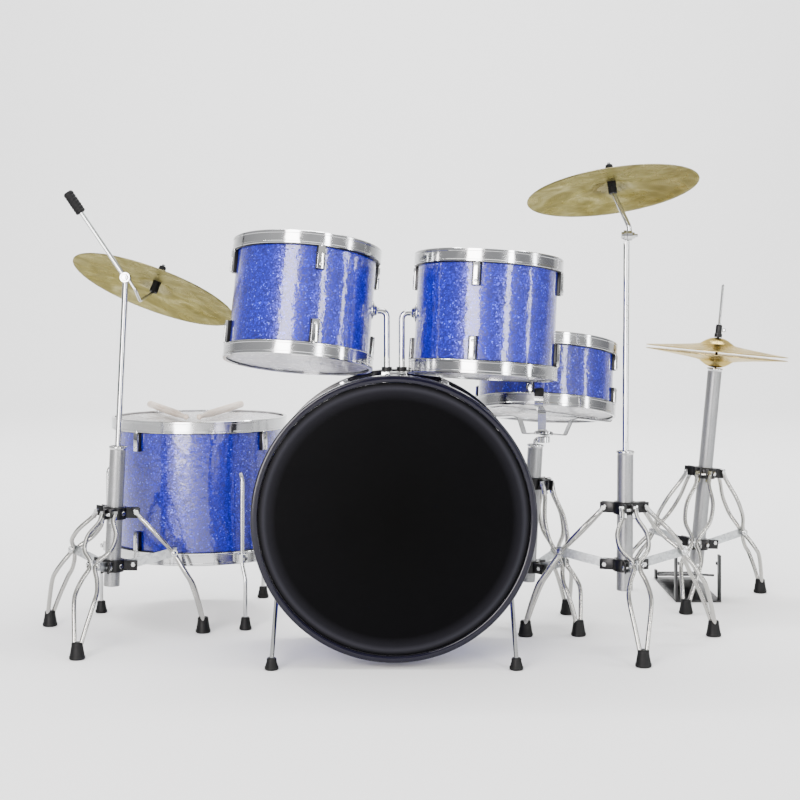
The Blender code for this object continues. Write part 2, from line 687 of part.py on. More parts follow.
def right_crash():
    plan = STANDS["right"]
    upper_rod(plan, RIGHT_PIVOT_HEIGHT, (1.0, 0.0, 0.0))
    home = pivot("right_tilter_tilt", plan.at(RIGHT_PIVOT_HEIGHT))
    centre = RIGHT_CRASH_CENTRE - home.location
    made = moving_eye("right_tilter", home, (1.0, 0.0, 0.0))
    seat = centre + RIGHT_CRASH_UP * (LOW_SLEEVE[0] + 0.0030)
    bm = bmesh.new()
    wire(bm, softened([(ARM_LEVEL, 0.0, 0.0066), (ARM_LEVEL, 0.0, 0.0135), seat], 0.0030, 2),
         0.0040, 8)
    merged(made, bm)
    crash_post(made, centre, RIGHT_CRASH_UP)
    loose_cymbal("right", RIGHT_CRASH_CENTRE, RIGHT_CRASH_UP, CRASH_RADIUS)


# ---- hi-hat -------------------------------------------------------------------------
HIHAT_RISE = 0.024
HIHAT_OPEN = 0.0076
HIHAT_ROD_TOP = 0.583
HIHAT_ROD_LOW = 0.0520
PEDAL_PLATE = 0.0030
HIHAT_PEDAL_X = 0.4920
HIHAT_HEEL_Y = 0.3870
HIHAT_TOE_Y = 0.1740


def hihat():
    plan = STANDS["hihat"]
    frame = pivot("hihat_axis", plan.at(plan.tube_high), plan.rotation())
    slant = 1.0 / plan.axis.z
    bottom_rim = GAP * 2 + HIHAT_RISE
    top_rim = bottom_rim + HIHAT_OPEN

    bm = bmesh.new()
    cymbal(bm, HIHAT_RADIUS, HIHAT_RISE,
           Matrix.Translation((0.0, 0.0, bottom_rim)) @ Matrix.Rotation(math.pi, 4, "X"))
    put("hihat_bottom_cymbal", bm, BRASS, frame)

    slide = pivot("hihat_rod_slide", plan.at(plan.tube_high), plan.rotation())
    bm = bmesh.new()
    cymbal(bm, HIHAT_RADIUS, HIHAT_RISE, Matrix.Translation((0.0, 0.0, top_rim)))
    put("hihat_top_cymbal", bm, BRASS, slide)

    crown = top_rim + HIHAT_RISE
    foot = (HIHAT_ROD_LOW - plan.tube_high) * slant
    head = (HIHAT_ROD_TOP - plan.tube_high) * slant
    rod = HIHAT_ROD_RADIUS
    bm = bmesh.new()
    turned(bm, [(0.0, foot), (0.0046, foot), (0.0046, foot + 0.0090), (rod, foot + 0.0090),
                (rod, crown - 0.0052), (0.0068, crown - 0.0052), (0.0068, crown - 0.0022),
                (rod, crown - 0.0022), (rod, crown + 0.0008), (0.0072, crown + 0.0008),
                (0.0072, crown + 0.0245), (rod, crown + 0.0245), (rod, head), (0.0, head)],
           8)
    put("hihat_rod", bm, CHROME, slide)
    hihat_pedal(plan)


def hihat_pedal(plan):
    """Floor plate with a heel block and two uprights; the footboard hinges at the heel."""
    heel = Vector((HIHAT_PEDAL_X, HIHAT_HEEL_Y, 0.0110))
    half = 0.042
    bm = bmesh.new()
    middle = (HIHAT_TOE_Y - 0.030 + HIHAT_HEEL_Y + 0.012) / 2
    length = HIHAT_HEEL_Y + 0.012 - (HIHAT_TOE_Y - 0.030)
    block(bm, (2 * half, length, PEDAL_PLATE),
          Matrix.Translation((HIHAT_PEDAL_X, middle, PEDAL_PLATE / 2)))
    made = put("hihat_pedal_base", bm, BLACK_PLASTIC)
    bm = bmesh.new()
    for side in (-1, 1):
        block(bm, (0.0040, 0.0180, 0.0840),
              Matrix.Translation((HIHAT_PEDAL_X + side * (half - 0.0021), HIHAT_TOE_Y - 0.0195,
                                  0.0435)))
        block(bm, (0.0050, 0.0150, 0.0180),
              Matrix.Translation((HIHAT_PEDAL_X + side * (half - 0.0026), HIHAT_HEEL_Y, 0.0105)))
    merged(made, bm)
    home = pivot("hihat_footboard_press", heel)
    footboard(home, "hihat_footboard", 0.070, heel.y - HIHAT_TOE_Y, 0.0450 - heel.z)


def footboard(home, name, width, length, rise):
    """Flat treadle from its heel rod up to its toe."""
    bm = bmesh.new()
    slope = math.atan2(rise, length)
    board = 0.0035
    span = math.hypot(rise, length) - 0.004
    turn = Matrix.Rotation(-slope, 4, "X")
    block(bm, (width, span, board), turn @ Matrix.Translation((0.0, -0.004 - span / 2, 0.0)))
    made = put(name, bm, BLACK_PLASTIC, home)
    bm = bmesh.new()
    wire(bm, [(-width / 2, 0.0, 0.0), (width / 2, 0.0, 0.0)], 0.0045, 12)
    merged(made, bm)


# ---- snare drum, its basket and the neck that slides in the stand ---------------------
SNARE_LEAN = (math.radians(-11.0), math.radians(3.4), 0.0)
BASKET_RISE = 0.0315
BASKET_AZIMUTHS = (-100.0, 20.0, 140.0)
STRAP_WIDTH = 0.014
STRAP = 0.0020


SNARE = DrumPlan("snare", SNARE_RADIUS, SNARE_HOOP_RADIUS, SNARE_HEIGHT)


def snare():
    plan = STANDS["snare"]
    home = pivot("snare_tilt", SNARE_HUB, SNARE_LEAN)
    seat = BASKET_RISE + STRAP / 2 + GAP
    middle = (0.0, 0.0, seat + SNARE.top)
    bm = bmesh.new()
    strip_lugs(bm, SNARE, quarter_turns(-108.0), (0.008, 0.013, 0.026))
    block(bm, (0.0175, 0.020, 0.060), around(117.0, SNARE_RADIUS + 0.0072))
    shell(SNARE, home, middle, bm)
    heads_and_hoops(SNARE, home, middle, TOP_AND_BOTTOM, CHROME)

    under = -SNARE.lip
    across = Matrix.Rotation(math.radians(27.0), 4, "Z")
    bm = bmesh.new()
    block(bm, (0.0120, 0.0400, 0.0018), across @ Matrix.Translation((0.090, 0.0, under - 0.0009)))
    made = put("snare_wires", bm, CHROME, home, middle)
    bm = bmesh.new()
    for k in range(8):
        block(bm, (0.1720, 0.0022, 0.0010),
              across @ Matrix.Translation((0.0, (k - 3.5) * 0.0050, under - 0.0009)))
    merged(made, bm)
    bm = bmesh.new()
    block(bm, (0.0120, 0.0400, 0.0018),
          across @ Matrix.Translation((-0.090, 0.0, under - 0.0009)))
    merged(made, bm)

    bm = bmesh.new()
    outline = [(0.0100, 0.0), (0.0400, 0.0), (0.0520, BASKET_RISE - 0.003),
               (0.0620, BASKET_RISE), (0.1240, BASKET_RISE), (0.1275, BASKET_RISE + 0.008),
               (0.1275, BASKET_RISE + 0.028)]
    for azimuth in BASKET_AZIMUTHS:
        strap(bm, outline, STRAP_WIDTH, STRAP, around(azimuth))
    made = put("snare_basket", bm, CHROME, home)
    bm = bmesh.new()
    disc(bm, 0.0160, -0.0030, 0.0030, TUBE_SIDES)
    merged(made, bm)

    rise = plan.at(plan.tube_high)
    slide = pivot("snare_post_slide", rise, plan.rotation())
    into = (Matrix.Translation(rise) @ Matrix.Rotation(plan.lean, 4, "Y")).inverted()
    edge = into @ (SNARE_HUB + Vector((0.0, 0.0, -0.0105)))
    bm = bmesh.new()
    route = softened([(0.0, 0.0, -0.100), (0.0, 0.0, edge.z - 0.0004), edge], 0.0060, 3)
    wire(bm, route, ROD_RADIUS - 0.0006, 10)
    made = put("snare_post", bm, CHROME, slide)
    bm = bmesh.new()
    turn = aimed(edge, into.to_3x3() @ Vector((0.0, 0.0, 1.0)))
    disc(bm, 0.0110, -0.0050, 0.0052, TUBE_SIDES, turn)
    merged(made, bm)


# ---- bass pedal ---------------------------------------------------------------------
BASS_AXLE = Vector((BASS_CENTRE.x, -0.1030, 0.122))
BASS_HEEL_Y = 0.0970
BEATER_REACH = 0.120
BEATER_BACK = 35.0


def bass_pedal():
    heel = Vector((BASS_CENTRE.x, BASS_HEEL_Y, 0.0110))
    half = 0.040
    start = BASS_CENTRE.y + BASS_DEPTH + 0.0012
    bm = bmesh.new()
    length = BASS_HEEL_Y + 0.012 - start
    block(bm, (2 * half, length, PEDAL_PLATE),
          Matrix.Translation((BASS_CENTRE.x, start + length / 2, PEDAL_PLATE / 2)))
    made = put("bass_pedal_base", bm, BLACK_PLASTIC)
    bm = bmesh.new()
    for side in (-1, 1):
        block(bm, (0.0060, 0.0160, 0.1330),
              Matrix.Translation((BASS_CENTRE.x + side * (half - 0.0031), BASS_AXLE.y, 0.0680)))
        block(bm, (0.0050, 0.0150, 0.0180),
              Matrix.Translation((BASS_CENTRE.x + side * (half - 0.0026), BASS_HEEL_Y, 0.0105)))
    merged(made, bm)
    home = pivot("bass_footboard_press", heel)
    footboard(home, "bass_pedal_footboard", 0.064, heel.y + 0.017, 0.0640 - heel.z)

    home = pivot("bass_beater_swing", BASS_AXLE)
    lean = math.radians(BEATER_BACK)
    along = Vector((0.0, math.sin(lean), math.cos(lean)))
    inside = half - 0.0061 - 0.0010
    bm = bmesh.new()
    wire(bm, [(-inside, 0.0, 0.0), (inside, 0.0, 0.0)], 0.0045, 12)
    made = put("bass_pedal_beater", bm, CHROME, home)
    bm = bmesh.new()
    wire(bm, [Vector(), along * BEATER_REACH], 0.0030, 10)
    merged(made, bm)
    bm = bmesh.new()
    facing = Vector((0.0, -math.cos(lean), math.sin(lean)))
    disc(bm, 0.0170, -0.0150, 0.0150, TUBE_SIDES, aimed(along * BEATER_REACH, facing))
    merged(made, bm)


def build():
    bass_drum()
    spurs()
    tom_mount()
    for plan in TOMS:
        tom(plan)
    floor_tom()
    stands()
    left_crash()
    right_crash()
    hihat()
    snare()
    bass_pedal()


build()
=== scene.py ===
import math

import bmesh
import bpy
from mathutils import Matrix, Vector


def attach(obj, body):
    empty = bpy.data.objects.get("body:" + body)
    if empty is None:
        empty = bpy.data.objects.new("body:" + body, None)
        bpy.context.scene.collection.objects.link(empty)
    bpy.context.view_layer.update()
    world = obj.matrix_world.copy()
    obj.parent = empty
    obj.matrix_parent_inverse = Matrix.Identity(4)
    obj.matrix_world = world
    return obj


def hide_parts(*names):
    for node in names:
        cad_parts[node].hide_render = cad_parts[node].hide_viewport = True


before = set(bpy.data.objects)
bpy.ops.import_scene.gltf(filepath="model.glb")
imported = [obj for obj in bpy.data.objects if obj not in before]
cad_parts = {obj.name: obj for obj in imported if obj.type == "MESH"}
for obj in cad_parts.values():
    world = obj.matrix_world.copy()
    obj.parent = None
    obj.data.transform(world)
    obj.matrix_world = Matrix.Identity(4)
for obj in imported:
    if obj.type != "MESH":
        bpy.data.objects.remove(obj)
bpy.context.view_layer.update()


# ---- camera, lights, floor ----------------------------------------------------------
CAMERA_PLACE = (-0.055, -2.787, 0.554)
LENS_MM, FRAME_MM, FRAME_DROP = 72.0, 36.0, -0.125
SWEEP_FRONT, SWEEP_TURN, SWEEP_BEND, SWEEP_TOP = -9.0, 5.0, 2.0, 9.0
SWEEP_HALF, SWEEP_DROP = 14.0, 0.0004


def light(name, place, aim, size, power, tint="FFFFFF"):
    lamp = bpy.data.lights.new(name, "AREA")
    lamp.shape = "RECTANGLE"
    lamp.size, lamp.size_y = size
    lamp.energy = power
    lamp.color = linear(tint)[:3]
    made = bpy.data.objects.new(name, lamp)
    bpy.context.scene.collection.objects.link(made)
    made.location = place
    made.rotation_euler = (Vector(aim) - Vector(place)).to_track_quat("-Z", "Y").to_euler()


def camera():
    """Level camera whose frame is shifted down, so that upright edges stay parallel."""
    made = bpy.data.objects.new("camera", bpy.data.cameras.new("camera"))
    made.data.lens = LENS_MM
    made.data.sensor_width = FRAME_MM
    made.data.shift_y = FRAME_DROP
    made.location = CAMERA_PLACE
    made.rotation_euler = (math.radians(90.0), 0.0, 0.0)
    bpy.context.scene.collection.objects.link(made)
    bpy.context.scene.camera = made


def lights():
    """Tall softboxes give each drum its upright bands; the others lift the floor and wall."""
    kit = (0.1, -0.1, 0.50)
    light("left_box", (-1.30, -3.25, 0.95), (-0.1, -0.1, 0.55), (1.25, 2.4), 205.0, "FFFAF9")
    light("right_box", (1.75, -3.05, 0.85), kit, (0.42, 2.4), 72.0)
    light("side_box", (3.05, -1.30, 0.85), kit, (0.26, 2.4), 36.0)
    light("overhead", (0.1, -0.2, 2.9), (0.0, 0.0, 0.4), (2.6, 2.6), 75.0)
    light("backdrop_wash", (0.0, 1.4, 4.6), (0.0, 6.0, 1.6), (5.0, 1.2), 620.0)


def room():
    """Even daylight from above that falls to grey at the horizon, for contrast in the chrome."""
    world = bpy.data.worlds.new("room")
    bpy.context.scene.world = world
    world.use_nodes = True
    tree = world.node_tree
    ways = add(tree, "ShaderNodeTexCoord").outputs["Generated"]
    height = add(tree, "ShaderNodeSeparateXYZ", {0: ways}).outputs["Z"]
    grey = ramped(tree, height, [(0.0, "8B8B90"), (0.55, "FFFFFF")])
    tree.links.new(grey, tree.nodes["Background"].inputs["Color"])


def sweep():
    bend = [math.radians(7.5 * k) for k in range(1, 13)]
    rows = [(SWEEP_FRONT, 0.0), (SWEEP_TURN, 0.0)]
    rows += [(SWEEP_TURN + SWEEP_BEND * math.sin(a), SWEEP_BEND * (1 - math.cos(a)))
             for a in bend]
    rows += [(SWEEP_TURN + SWEEP_BEND, SWEEP_TOP)]
    bm = bmesh.new()
    lines = [[bm.verts.new((x, y, z - SWEEP_DROP)) for x in (-SWEEP_HALF, SWEEP_HALF)]
             for y, z in rows]
    for low, high in zip(lines, lines[1:]):
        bm.faces.new((low[0], low[1], high[1], high[0]))
    mesh = bpy.data.meshes.new("sweep")
    bm.to_mesh(mesh)
    bm.free()
    mesh.shade_smooth()
    mesh.materials.append(PAPER)
    made = bpy.data.objects.new("sweep", mesh)
    bpy.context.scene.collection.objects.link(made)


# ---- nodes and finishes -------------------------------------------------------------
def linear(code):
    """An sRGB hex colour as linear RGBA."""
    parts = [int(code[k:k + 2], 16) / 255 for k in (0, 2, 4)]
    return (*[c / 12.92 if c <= 0.04045 else ((c + 0.055) / 1.055) ** 2.4 for c in parts], 1.0)


def add(tree, kind, inputs=None, **settings):
    """One node with its settings; an input is linked if given a socket, or else set."""
    made = tree.nodes.new(kind)
    for key, value in settings.items():
        setattr(made, key, value)
    for key, value in (inputs or {}).items():
        if isinstance(value, bpy.types.NodeSocket):
            tree.links.new(value, made.inputs[key])
        else:
            made.inputs[key].default_value = value
    return made


def surface(name, **sockets):
    """A material, its tree, its shader, and the piece's own coordinates."""
    made = bpy.data.materials.new(name)
    made.use_nodes = True
    tree = made.node_tree
    shader = tree.nodes["Principled BSDF"]
    for key, value in sockets.items():
        shader.inputs[key.replace("_", " ")].default_value = value
    return made, tree, shader, add(tree, "ShaderNodeTexCoord").outputs["Object"]


def ramped(tree, value, stops):
    made = add(tree, "ShaderNodeValToRGB", {0: value})
    bar = made.color_ramp.elements
    while len(bar) < len(stops):
        bar.new(0.5)
    for element, (position, colour) in zip(bar, stops):
        element.position = position
        element.color = linear(colour)
    return made.outputs["Color"]


def clouds(tree, where, scale, detail=4.0, distortion=0.0):
    return add(tree, "ShaderNodeTexNoise", {"Vector": where, "Scale": scale, "Detail": detail,
                                            "Distortion": distortion}).outputs[0]


def spread(tree, value, low, high, start=0.32, end=0.68):
    return add(tree, "ShaderNodeMapRange", {"Value": value, "From Min": start, "From Max": end,
                                            "To Min": low, "To Max": high}).outputs[0]


def relief(tree, shader, height, depth, strength=1.0, socket="Normal"):
    """Bump whose full height is the depth in metres."""
    made = add(tree, "ShaderNodeBump", {"Height": height, "Distance": depth,
                                        "Strength": strength})
    tree.links.new(made.outputs["Normal"], shader.inputs[socket])


def sparkle_wrap():
    """Glitter film under clear vinyl: blue flakes that each catch the light on their own, the
    palest few with a painted glint in their colour, under a glossy skin that ripples a little
    where it was glued to the shell."""
    made, tree, shader, where = surface("glitter_film_painted_glint", Metallic=0.14,
                                        Roughness=0.32, Coat_Weight=1.0, Coat_Roughness=0.035,
                                        Coat_IOR=1.52)
    flakes = add(tree, "ShaderNodeTexVoronoi", {"Vector": where, "Scale": 520.0})  # 1.9 mm,
    chance = add(tree, "ShaderNodeSeparateColor", {0: flakes.outputs["Color"]})
    # flake tones; the top stop, pale 5C6CFF, is a painted glint on the few flakes that draw it
    colour = ramped(tree, chance.outputs[0],
                    [(0.0, "00025C"), (0.45, "000380"), (0.80, "0205A4"), (0.965, "0610D0"),
                     (1.0, "5C6CFF")])
    patches = clouds(tree, where, 34.0, 5.0, 1.2)
    shade = add(tree, "ShaderNodeMix", {0: spread(tree, patches, 0.0, 0.42, 0.45, 0.72),
                                        6: colour, 7: linear("000150")}, data_type="RGBA")
    tree.links.new(shade.outputs[2], shader.inputs["Base Color"])
    centred = add(tree, "ShaderNodeVectorMath", {0: flakes.outputs["Color"],
                                                 1: (0.5, 0.5, 0.5)}, operation="SUBTRACT")
    tilt = add(tree, "ShaderNodeVectorMath", {0: centred.outputs[0], "Scale": 0.20},
               operation="SCALE")
    outward = add(tree, "ShaderNodeNewGeometry").outputs["Normal"]
    turned_flake = add(tree, "ShaderNodeVectorMath", {0: outward, 1: tilt.outputs[0]})
    straight = add(tree, "ShaderNodeVectorMath", {0: turned_flake.outputs[0]},
                   operation="NORMALIZE")
    tree.links.new(straight.outputs[0], shader.inputs["Normal"])
    ripple = clouds(tree, where, 58.0, 3.0, 0.6)
    relief(tree, shader, ripple, 0.0009, 0.75, socket="Coat Normal")
    return made


def plated(name, colour, low, high, marks=40.0, dents=0.00004):
    """Bright electroplate over polished steel, with faint hand marks and a slight waviness."""
    made, tree, shader, where = surface(name, Base_Color=linear(colour), Metallic=1.0)
    smudges = clouds(tree, where, marks, 5.0, 0.8)
    tree.links.new(spread(tree, smudges, low, high), shader.inputs["Roughness"])
    relief(tree, shader, clouds(tree, where, marks * 3.0, 2.0), dents)
    return made


def zinc_strip():
    """Zinc-plated strip: a dull bluish grey with the faint patches of its bath."""
    made, tree, shader, where = surface("zinc_plated_strip", Metallic=0.95)
    grains = add(tree, "ShaderNodeTexVoronoi", {"Vector": where, "Scale": 260.0})
    tone = add(tree, "ShaderNodeSeparateColor", {0: grains.outputs["Color"]}).outputs[0]
    tree.links.new(ramped(tree, tone, [(0.0, "9DA0A2"), (1.0, "BCBFC0")]),
                   shader.inputs["Base Color"])
    tree.links.new(spread(tree, clouds(tree, where, 60.0), 0.28, 0.46),
                   shader.inputs["Roughness"])
    return made


def satin_tube():
    """Silver-grey enamel on steel tube: satin, with the fine grain of a sprayed coat."""
    made, tree, shader, where = surface("sprayed_silver_enamel", Metallic=0.78)
    tree.links.new(ramped(tree, clouds(tree, where, 900.0, 2.0),
                          [(0.30, "77787A"), (0.70, "949595")]), shader.inputs["Base Color"])
    tree.links.new(spread(tree, clouds(tree, where, 30.0), 0.34, 0.46),
                   shader.inputs["Roughness"])
    relief(tree, shader, clouds(tree, where, 1300.0, 2.0), 0.00005, 0.6)
    return made


def dark_moulding(name, colour, low, high, grain=700.0, depth=0.00006, **more):
    """Moulded black polymer, with a fine grain and small changes of gloss."""
    made, tree, shader, where = surface(name, Base_Color=linear(colour), **more)
    tree.links.new(spread(tree, clouds(tree, where, 55.0), low, high),
                   shader.inputs["Roughness"])
    relief(tree, shader, clouds(tree, where, grain, 3.0), depth, 0.6)
    return made


def black_head():
    """Black polyester drum head, with a painted highlight: a soft paler ring near the rim where it
    bends over the shell.
    """
    made, tree, shader, where = surface("black_film_painted_rim_highlight", Specular_IOR_Level=0.03)
    flat = add(tree, "ShaderNodeVectorMath", {0: where, 1: (1.0, 1.0, 0.0)},
               operation="MULTIPLY")
    out = add(tree, "ShaderNodeVectorMath", {0: flat.outputs[0]}, operation="LENGTH")
    share = add(tree, "ShaderNodeMath", {0: out.outputs["Value"], 1: BASS_RADIUS},
                operation="DIVIDE").outputs[0]
    # painted highlight: the ramp lifts a ring at 87-99 % of the radius to dark grey, for light
    # caught where the film bends over the edge
    tree.links.new(ramped(tree, share, [(0.0, "000000"), (0.870, "020203"), (0.935, "131317"),
                                        (0.962, "242429"), (0.990, "08080A")]),
                   shader.inputs["Base Color"])
    tree.links.new(spread(tree, clouds(tree, where, 12.0), 0.42, 0.55),
                   shader.inputs["Roughness"])
    return made


def clear_head():
    """Hazy clear polyester head: a milky film with faint wear where sticks land."""
    made, tree, shader, where = surface("hazy_clear_polyester", Alpha=0.62, IOR=1.57,
                                        Specular_IOR_Level=0.6)
    tree.links.new(ramped(tree, clouds(tree, where, 14.0, 5.0),
                          [(0.30, "DCDDE1"), (0.70, "F3F2F2")]), shader.inputs["Base Color"])
    tree.links.new(spread(tree, clouds(tree, where, 90.0, 5.0), 0.14, 0.30),
                   shader.inputs["Roughness"])
    relief(tree, shader, clouds(tree, where, 9.0, 2.0), 0.0012, 0.5)
    return made


def lathed_bronze(name, dark, middle, pale, edge, low, high):
    """Cymbal bronze: turned on a lathe, so it has fine rings, with hammer marks and the
    cloudy tarnish of handling."""
    made, tree, shader, where = surface(name, Metallic=1.0, Anisotropic=0.45,
                                        Specular_Tint=linear(edge))
    tarnish = clouds(tree, where, 17.0, 6.0, 1.4)
    tree.links.new(ramped(tree, tarnish, [(0.30, dark), (0.52, middle), (0.72, pale)]),
                   shader.inputs["Base Color"])
    tree.links.new(spread(tree, clouds(tree, where, 26.0, 6.0, 1.0), low, high),
                   shader.inputs["Roughness"])
    tree.links.new(add(tree, "ShaderNodeTangent", direction_type="RADIAL",
                       axis="Z").outputs[0], shader.inputs["Tangent"])
    rings = add(tree, "ShaderNodeTexWave", {"Vector": where, "Scale": 95.0, "Distortion": 0.7,
                                            "Detail": 2.0, "Detail Scale": 1.0},
                wave_type="RINGS", rings_direction="Z").outputs["Fac"]     # 3.3 mm apart, for
    # real grooves of 1 mm, so that they show
    dents = clouds(tree, where, 38.0, 1.0)
    both = add(tree, "ShaderNodeMath", {0: dents, 1: 6.0, 2: rings},
               operation="MULTIPLY_ADD").outputs[0]
    relief(tree, shader, both, 0.00013, 0.8)
    return made


def turned_maple():
    """Maple turned to a stick: pale, smooth, with long thin grain along its length."""
    made, tree, shader, where = surface("turned_maple", Roughness=0.48)
    long = add(tree, "ShaderNodeMapping", {"Vector": where, "Scale": (1.0, 1.0, 0.06)})
    grain = clouds(tree, long.outputs[0], 420.0, 6.0, 1.0)
    tree.links.new(ramped(tree, grain, [(0.28, "C4AD98"), (0.50, "DCCDBE"), (0.75, "E9DED2")]),
                   shader.inputs["Base Color"])
    relief(tree, shader, grain, 0.00008, 0.5)
    return made


def ply_inside():
    """Unfinished birch ply inside a shell, nearly white, with its grain running round."""
    made, tree, shader, where = surface("birch_ply", Roughness=0.65)
    long = add(tree, "ShaderNodeMapping", {"Vector": where, "Scale": (1.0, 1.0, 9.0)})
    tree.links.new(ramped(tree, clouds(tree, long.outputs[0], 22.0, 6.0),
                          [(0.30, "CFC6BC"), (0.70, "E4DDD5")]), shader.inputs["Base Color"])
    return made


def beater_felt():
    """Pressed wool felt: fibres in all directions and no shine."""
    made, tree, shader, where = surface("pressed_felt", Roughness=0.95, Sheen_Weight=0.4)
    fibres = clouds(tree, where, 700.0, 6.0, 2.0)
    tree.links.new(ramped(tree, fibres, [(0.3, "C8C4BA"), (0.7, "E6E3DA")]),
                   shader.inputs["Base Color"])
    relief(tree, shader, fibres, 0.0006)
    return made


BASS_RADIUS = 0.2045
WRAP = sparkle_wrap()
CHROME = plated("chrome_plate", "C4C5C5", 0.05, 0.17)
HOOP_CHROME = plated("chrome_rolled_strip", "C2C3C4", 0.08, 0.20, 26.0, 0.00012)
NICKEL = plated("nickel_plated_rod", "A9A8A4", 0.15, 0.30, 60.0)
STEEL_WIRE = plated("drawn_steel_wire", "B9BABC", 0.20, 0.34, 90.0)
ZINC = zinc_strip()
ENAMEL = satin_tube()
PLASTIC = dark_moulding("moulded_black_nylon", "050507", 0.26, 0.42, Specular_IOR_Level=0.28)
RUBBER = dark_moulding("moulded_black_rubber", "050506", 0.48, 0.66, 500.0, 0.00012,
                       Specular_IOR_Level=0.22)
LACQUER = dark_moulding("black_gloss_lacquer", "050414", 0.10, 0.18, 120.0, 0.00002,
                        Specular_IOR_Level=0.30)
PEDAL_PAINT = dark_moulding("black_powder_coat", "08090B", 0.38, 0.52, 900.0, 0.0001)
BLACK_FILM = black_head()
CLEAR_FILM = clear_head()
CRASH_BRONZE = lathed_bronze("lathed_bronze_aged", "6B644A", "868060", "A8A281", "BDB89D",
                             0.20, 0.40)
HIHAT_BRONZE = lathed_bronze("lathed_bronze_bright", "94814E", "B39F6A", "D0BE8C", "DDD0A8",
                             0.16, 0.32)
MAPLE = turned_maple()
PLY = ply_inside()
FELT = beater_felt()
PAPER = surface("matt_white_paper", Base_Color=linear("F7F7F7"), Roughness=0.9)[0]


# ---- shapes -------------------------------------------------------------------------
def skin(bm, rings, closed):
    count = len(rings)
    for k in range(count if closed else count - 1):
        low, high = rings[k], rings[(k + 1) % count]
        for s in range(max(len(low), len(high))):
            corners = [low[s % len(low)], low[(s + 1) % len(low)],
                       high[(s + 1) % len(high)], high[s % len(high)]]
            corners = list(dict.fromkeys(corners))
            if len(corners) > 2:
                bm.faces.new(corners)


def turned(bm, profile, sides, place=Matrix()):
    """Solid of revolution about local Z from a list of (radius, height)."""
    rings = []
    for radius, height in profile:
        turns = sides if radius > 0 else 1
        rings.append([bm.verts.new(place @ Vector((radius * math.cos(math.tau * s / sides),
                                                   radius * math.sin(math.tau * s / sides),
                                                   height))) for s in range(turns)])
    skin(bm, rings, profile[0][0] > 0 and profile[-1][0] > 0)


def disc(bm, radius, low, high, sides=32, place=Matrix(), edge=0.0):
    """Turned plug whose rims are rounded by the edge."""
    turned(bm, [(0, low), (radius - edge, low), (radius, low + edge), (radius, high - edge),
                (radius - edge, high), (0, high)] if edge else
           [(0, low), (radius, low), (radius, high), (0, high)], sides, place)


def sleeve(bm, inner, outer, low, high, sides=40, place=Matrix(), edge=0.0004):
    turned(bm, [(inner, low + edge), (inner + edge, low), (outer - edge, low),
                (outer, low + edge), (outer, high - edge), (outer - edge, high),
                (inner + edge, high), (inner, high - edge)], sides, place)


def block(bm, size, place=Matrix(), edge=0.0):
    """Box whose edges are cut back by the edge, all round."""
    made = bmesh.ops.create_cube(bm, size=1.0, matrix=Matrix.Diagonal((*size, 1.0)))
    if edge:
        sides = list({e for v in made["verts"] for e in v.link_edges})
        cut = bmesh.ops.bevel(bm, geom=sides, offset=edge, segments=2, affect="EDGES",
                              profile=0.5)
        verts = {v for f in cut["faces"] for v in f.verts} | {v for v in made["verts"]
                                                              if v.is_valid}
    else:
        verts = made["verts"]
    bmesh.ops.transform(bm, matrix=place, verts=list(verts))


def smooth(points, steps=6):
    """A curve that passes through every point."""
    points = [Vector(p) for p in points]
    held = [points[0] * 2 - points[1], *points, points[-1] * 2 - points[-2]]
    route = []
    for a, b, c, d in zip(held, held[1:], held[2:], held[3:]):
        for k in range(steps):
            t = k / steps
            route.append(0.5 * (b * 2 + (c - a) * t + (a * 2 - b * 5 + c * 4 - d) * t * t
                                + (b * 3 - a - c * 3 + d) * t ** 3))
    return [*route, points[-1]]


def softened(points, reach, steps=6):
    """The same route with each corner replaced by a short curve."""
    points = [Vector(p) for p in points]
    route = [points[0]]
    for before, corner, after in zip(points, points[1:], points[2:]):
        start = corner + (before - corner).normalized() * reach
        end = corner + (after - corner).normalized() * reach
        for k in range(steps + 1):
            t = k / steps
            route.append(start * (1 - t) ** 2 + corner * 2 * t * (1 - t) + end * t ** 2)
    return [*route, points[-1]]


def frames_along(points):
    last = len(points) - 1
    side = None
    for k, point in enumerate(points):
        ahead = (points[min(k + 1, last)] - point).normalized() if k < last else Vector()
        behind = (point - points[k - 1]).normalized() if k > 0 else Vector()
        along = (ahead + behind).normalized()
        if side is None:
            side = along.orthogonal().normalized()
        side = (side - along * side.dot(along)).normalized()
        yield point, along, side, along.cross(side)


def wire(bm, points, radius, sides=16):
    """Round bar along the points, with slightly domed ends; radius may be one per point."""
    points = [Vector(p) for p in points]
    radii = radius if isinstance(radius, (list, tuple)) else [radius] * len(points)
    rings = []
    for (point, along, side, up), r in zip(frames_along(points), radii):
        rings.append([bm.verts.new(point + r * (side * math.cos(math.tau * s / sides)
                                                + up * math.sin(math.tau * s / sides)))
                      for s in range(sides)])
    start = points[0] + (points[0] - points[1]).normalized() * radii[0] * 0.2
    end = points[-1] + (points[-1] - points[-2]).normalized() * radii[-1] * 0.2
    skin(bm, [[bm.verts.new(start)], *rings, [bm.verts.new(end)]], False)


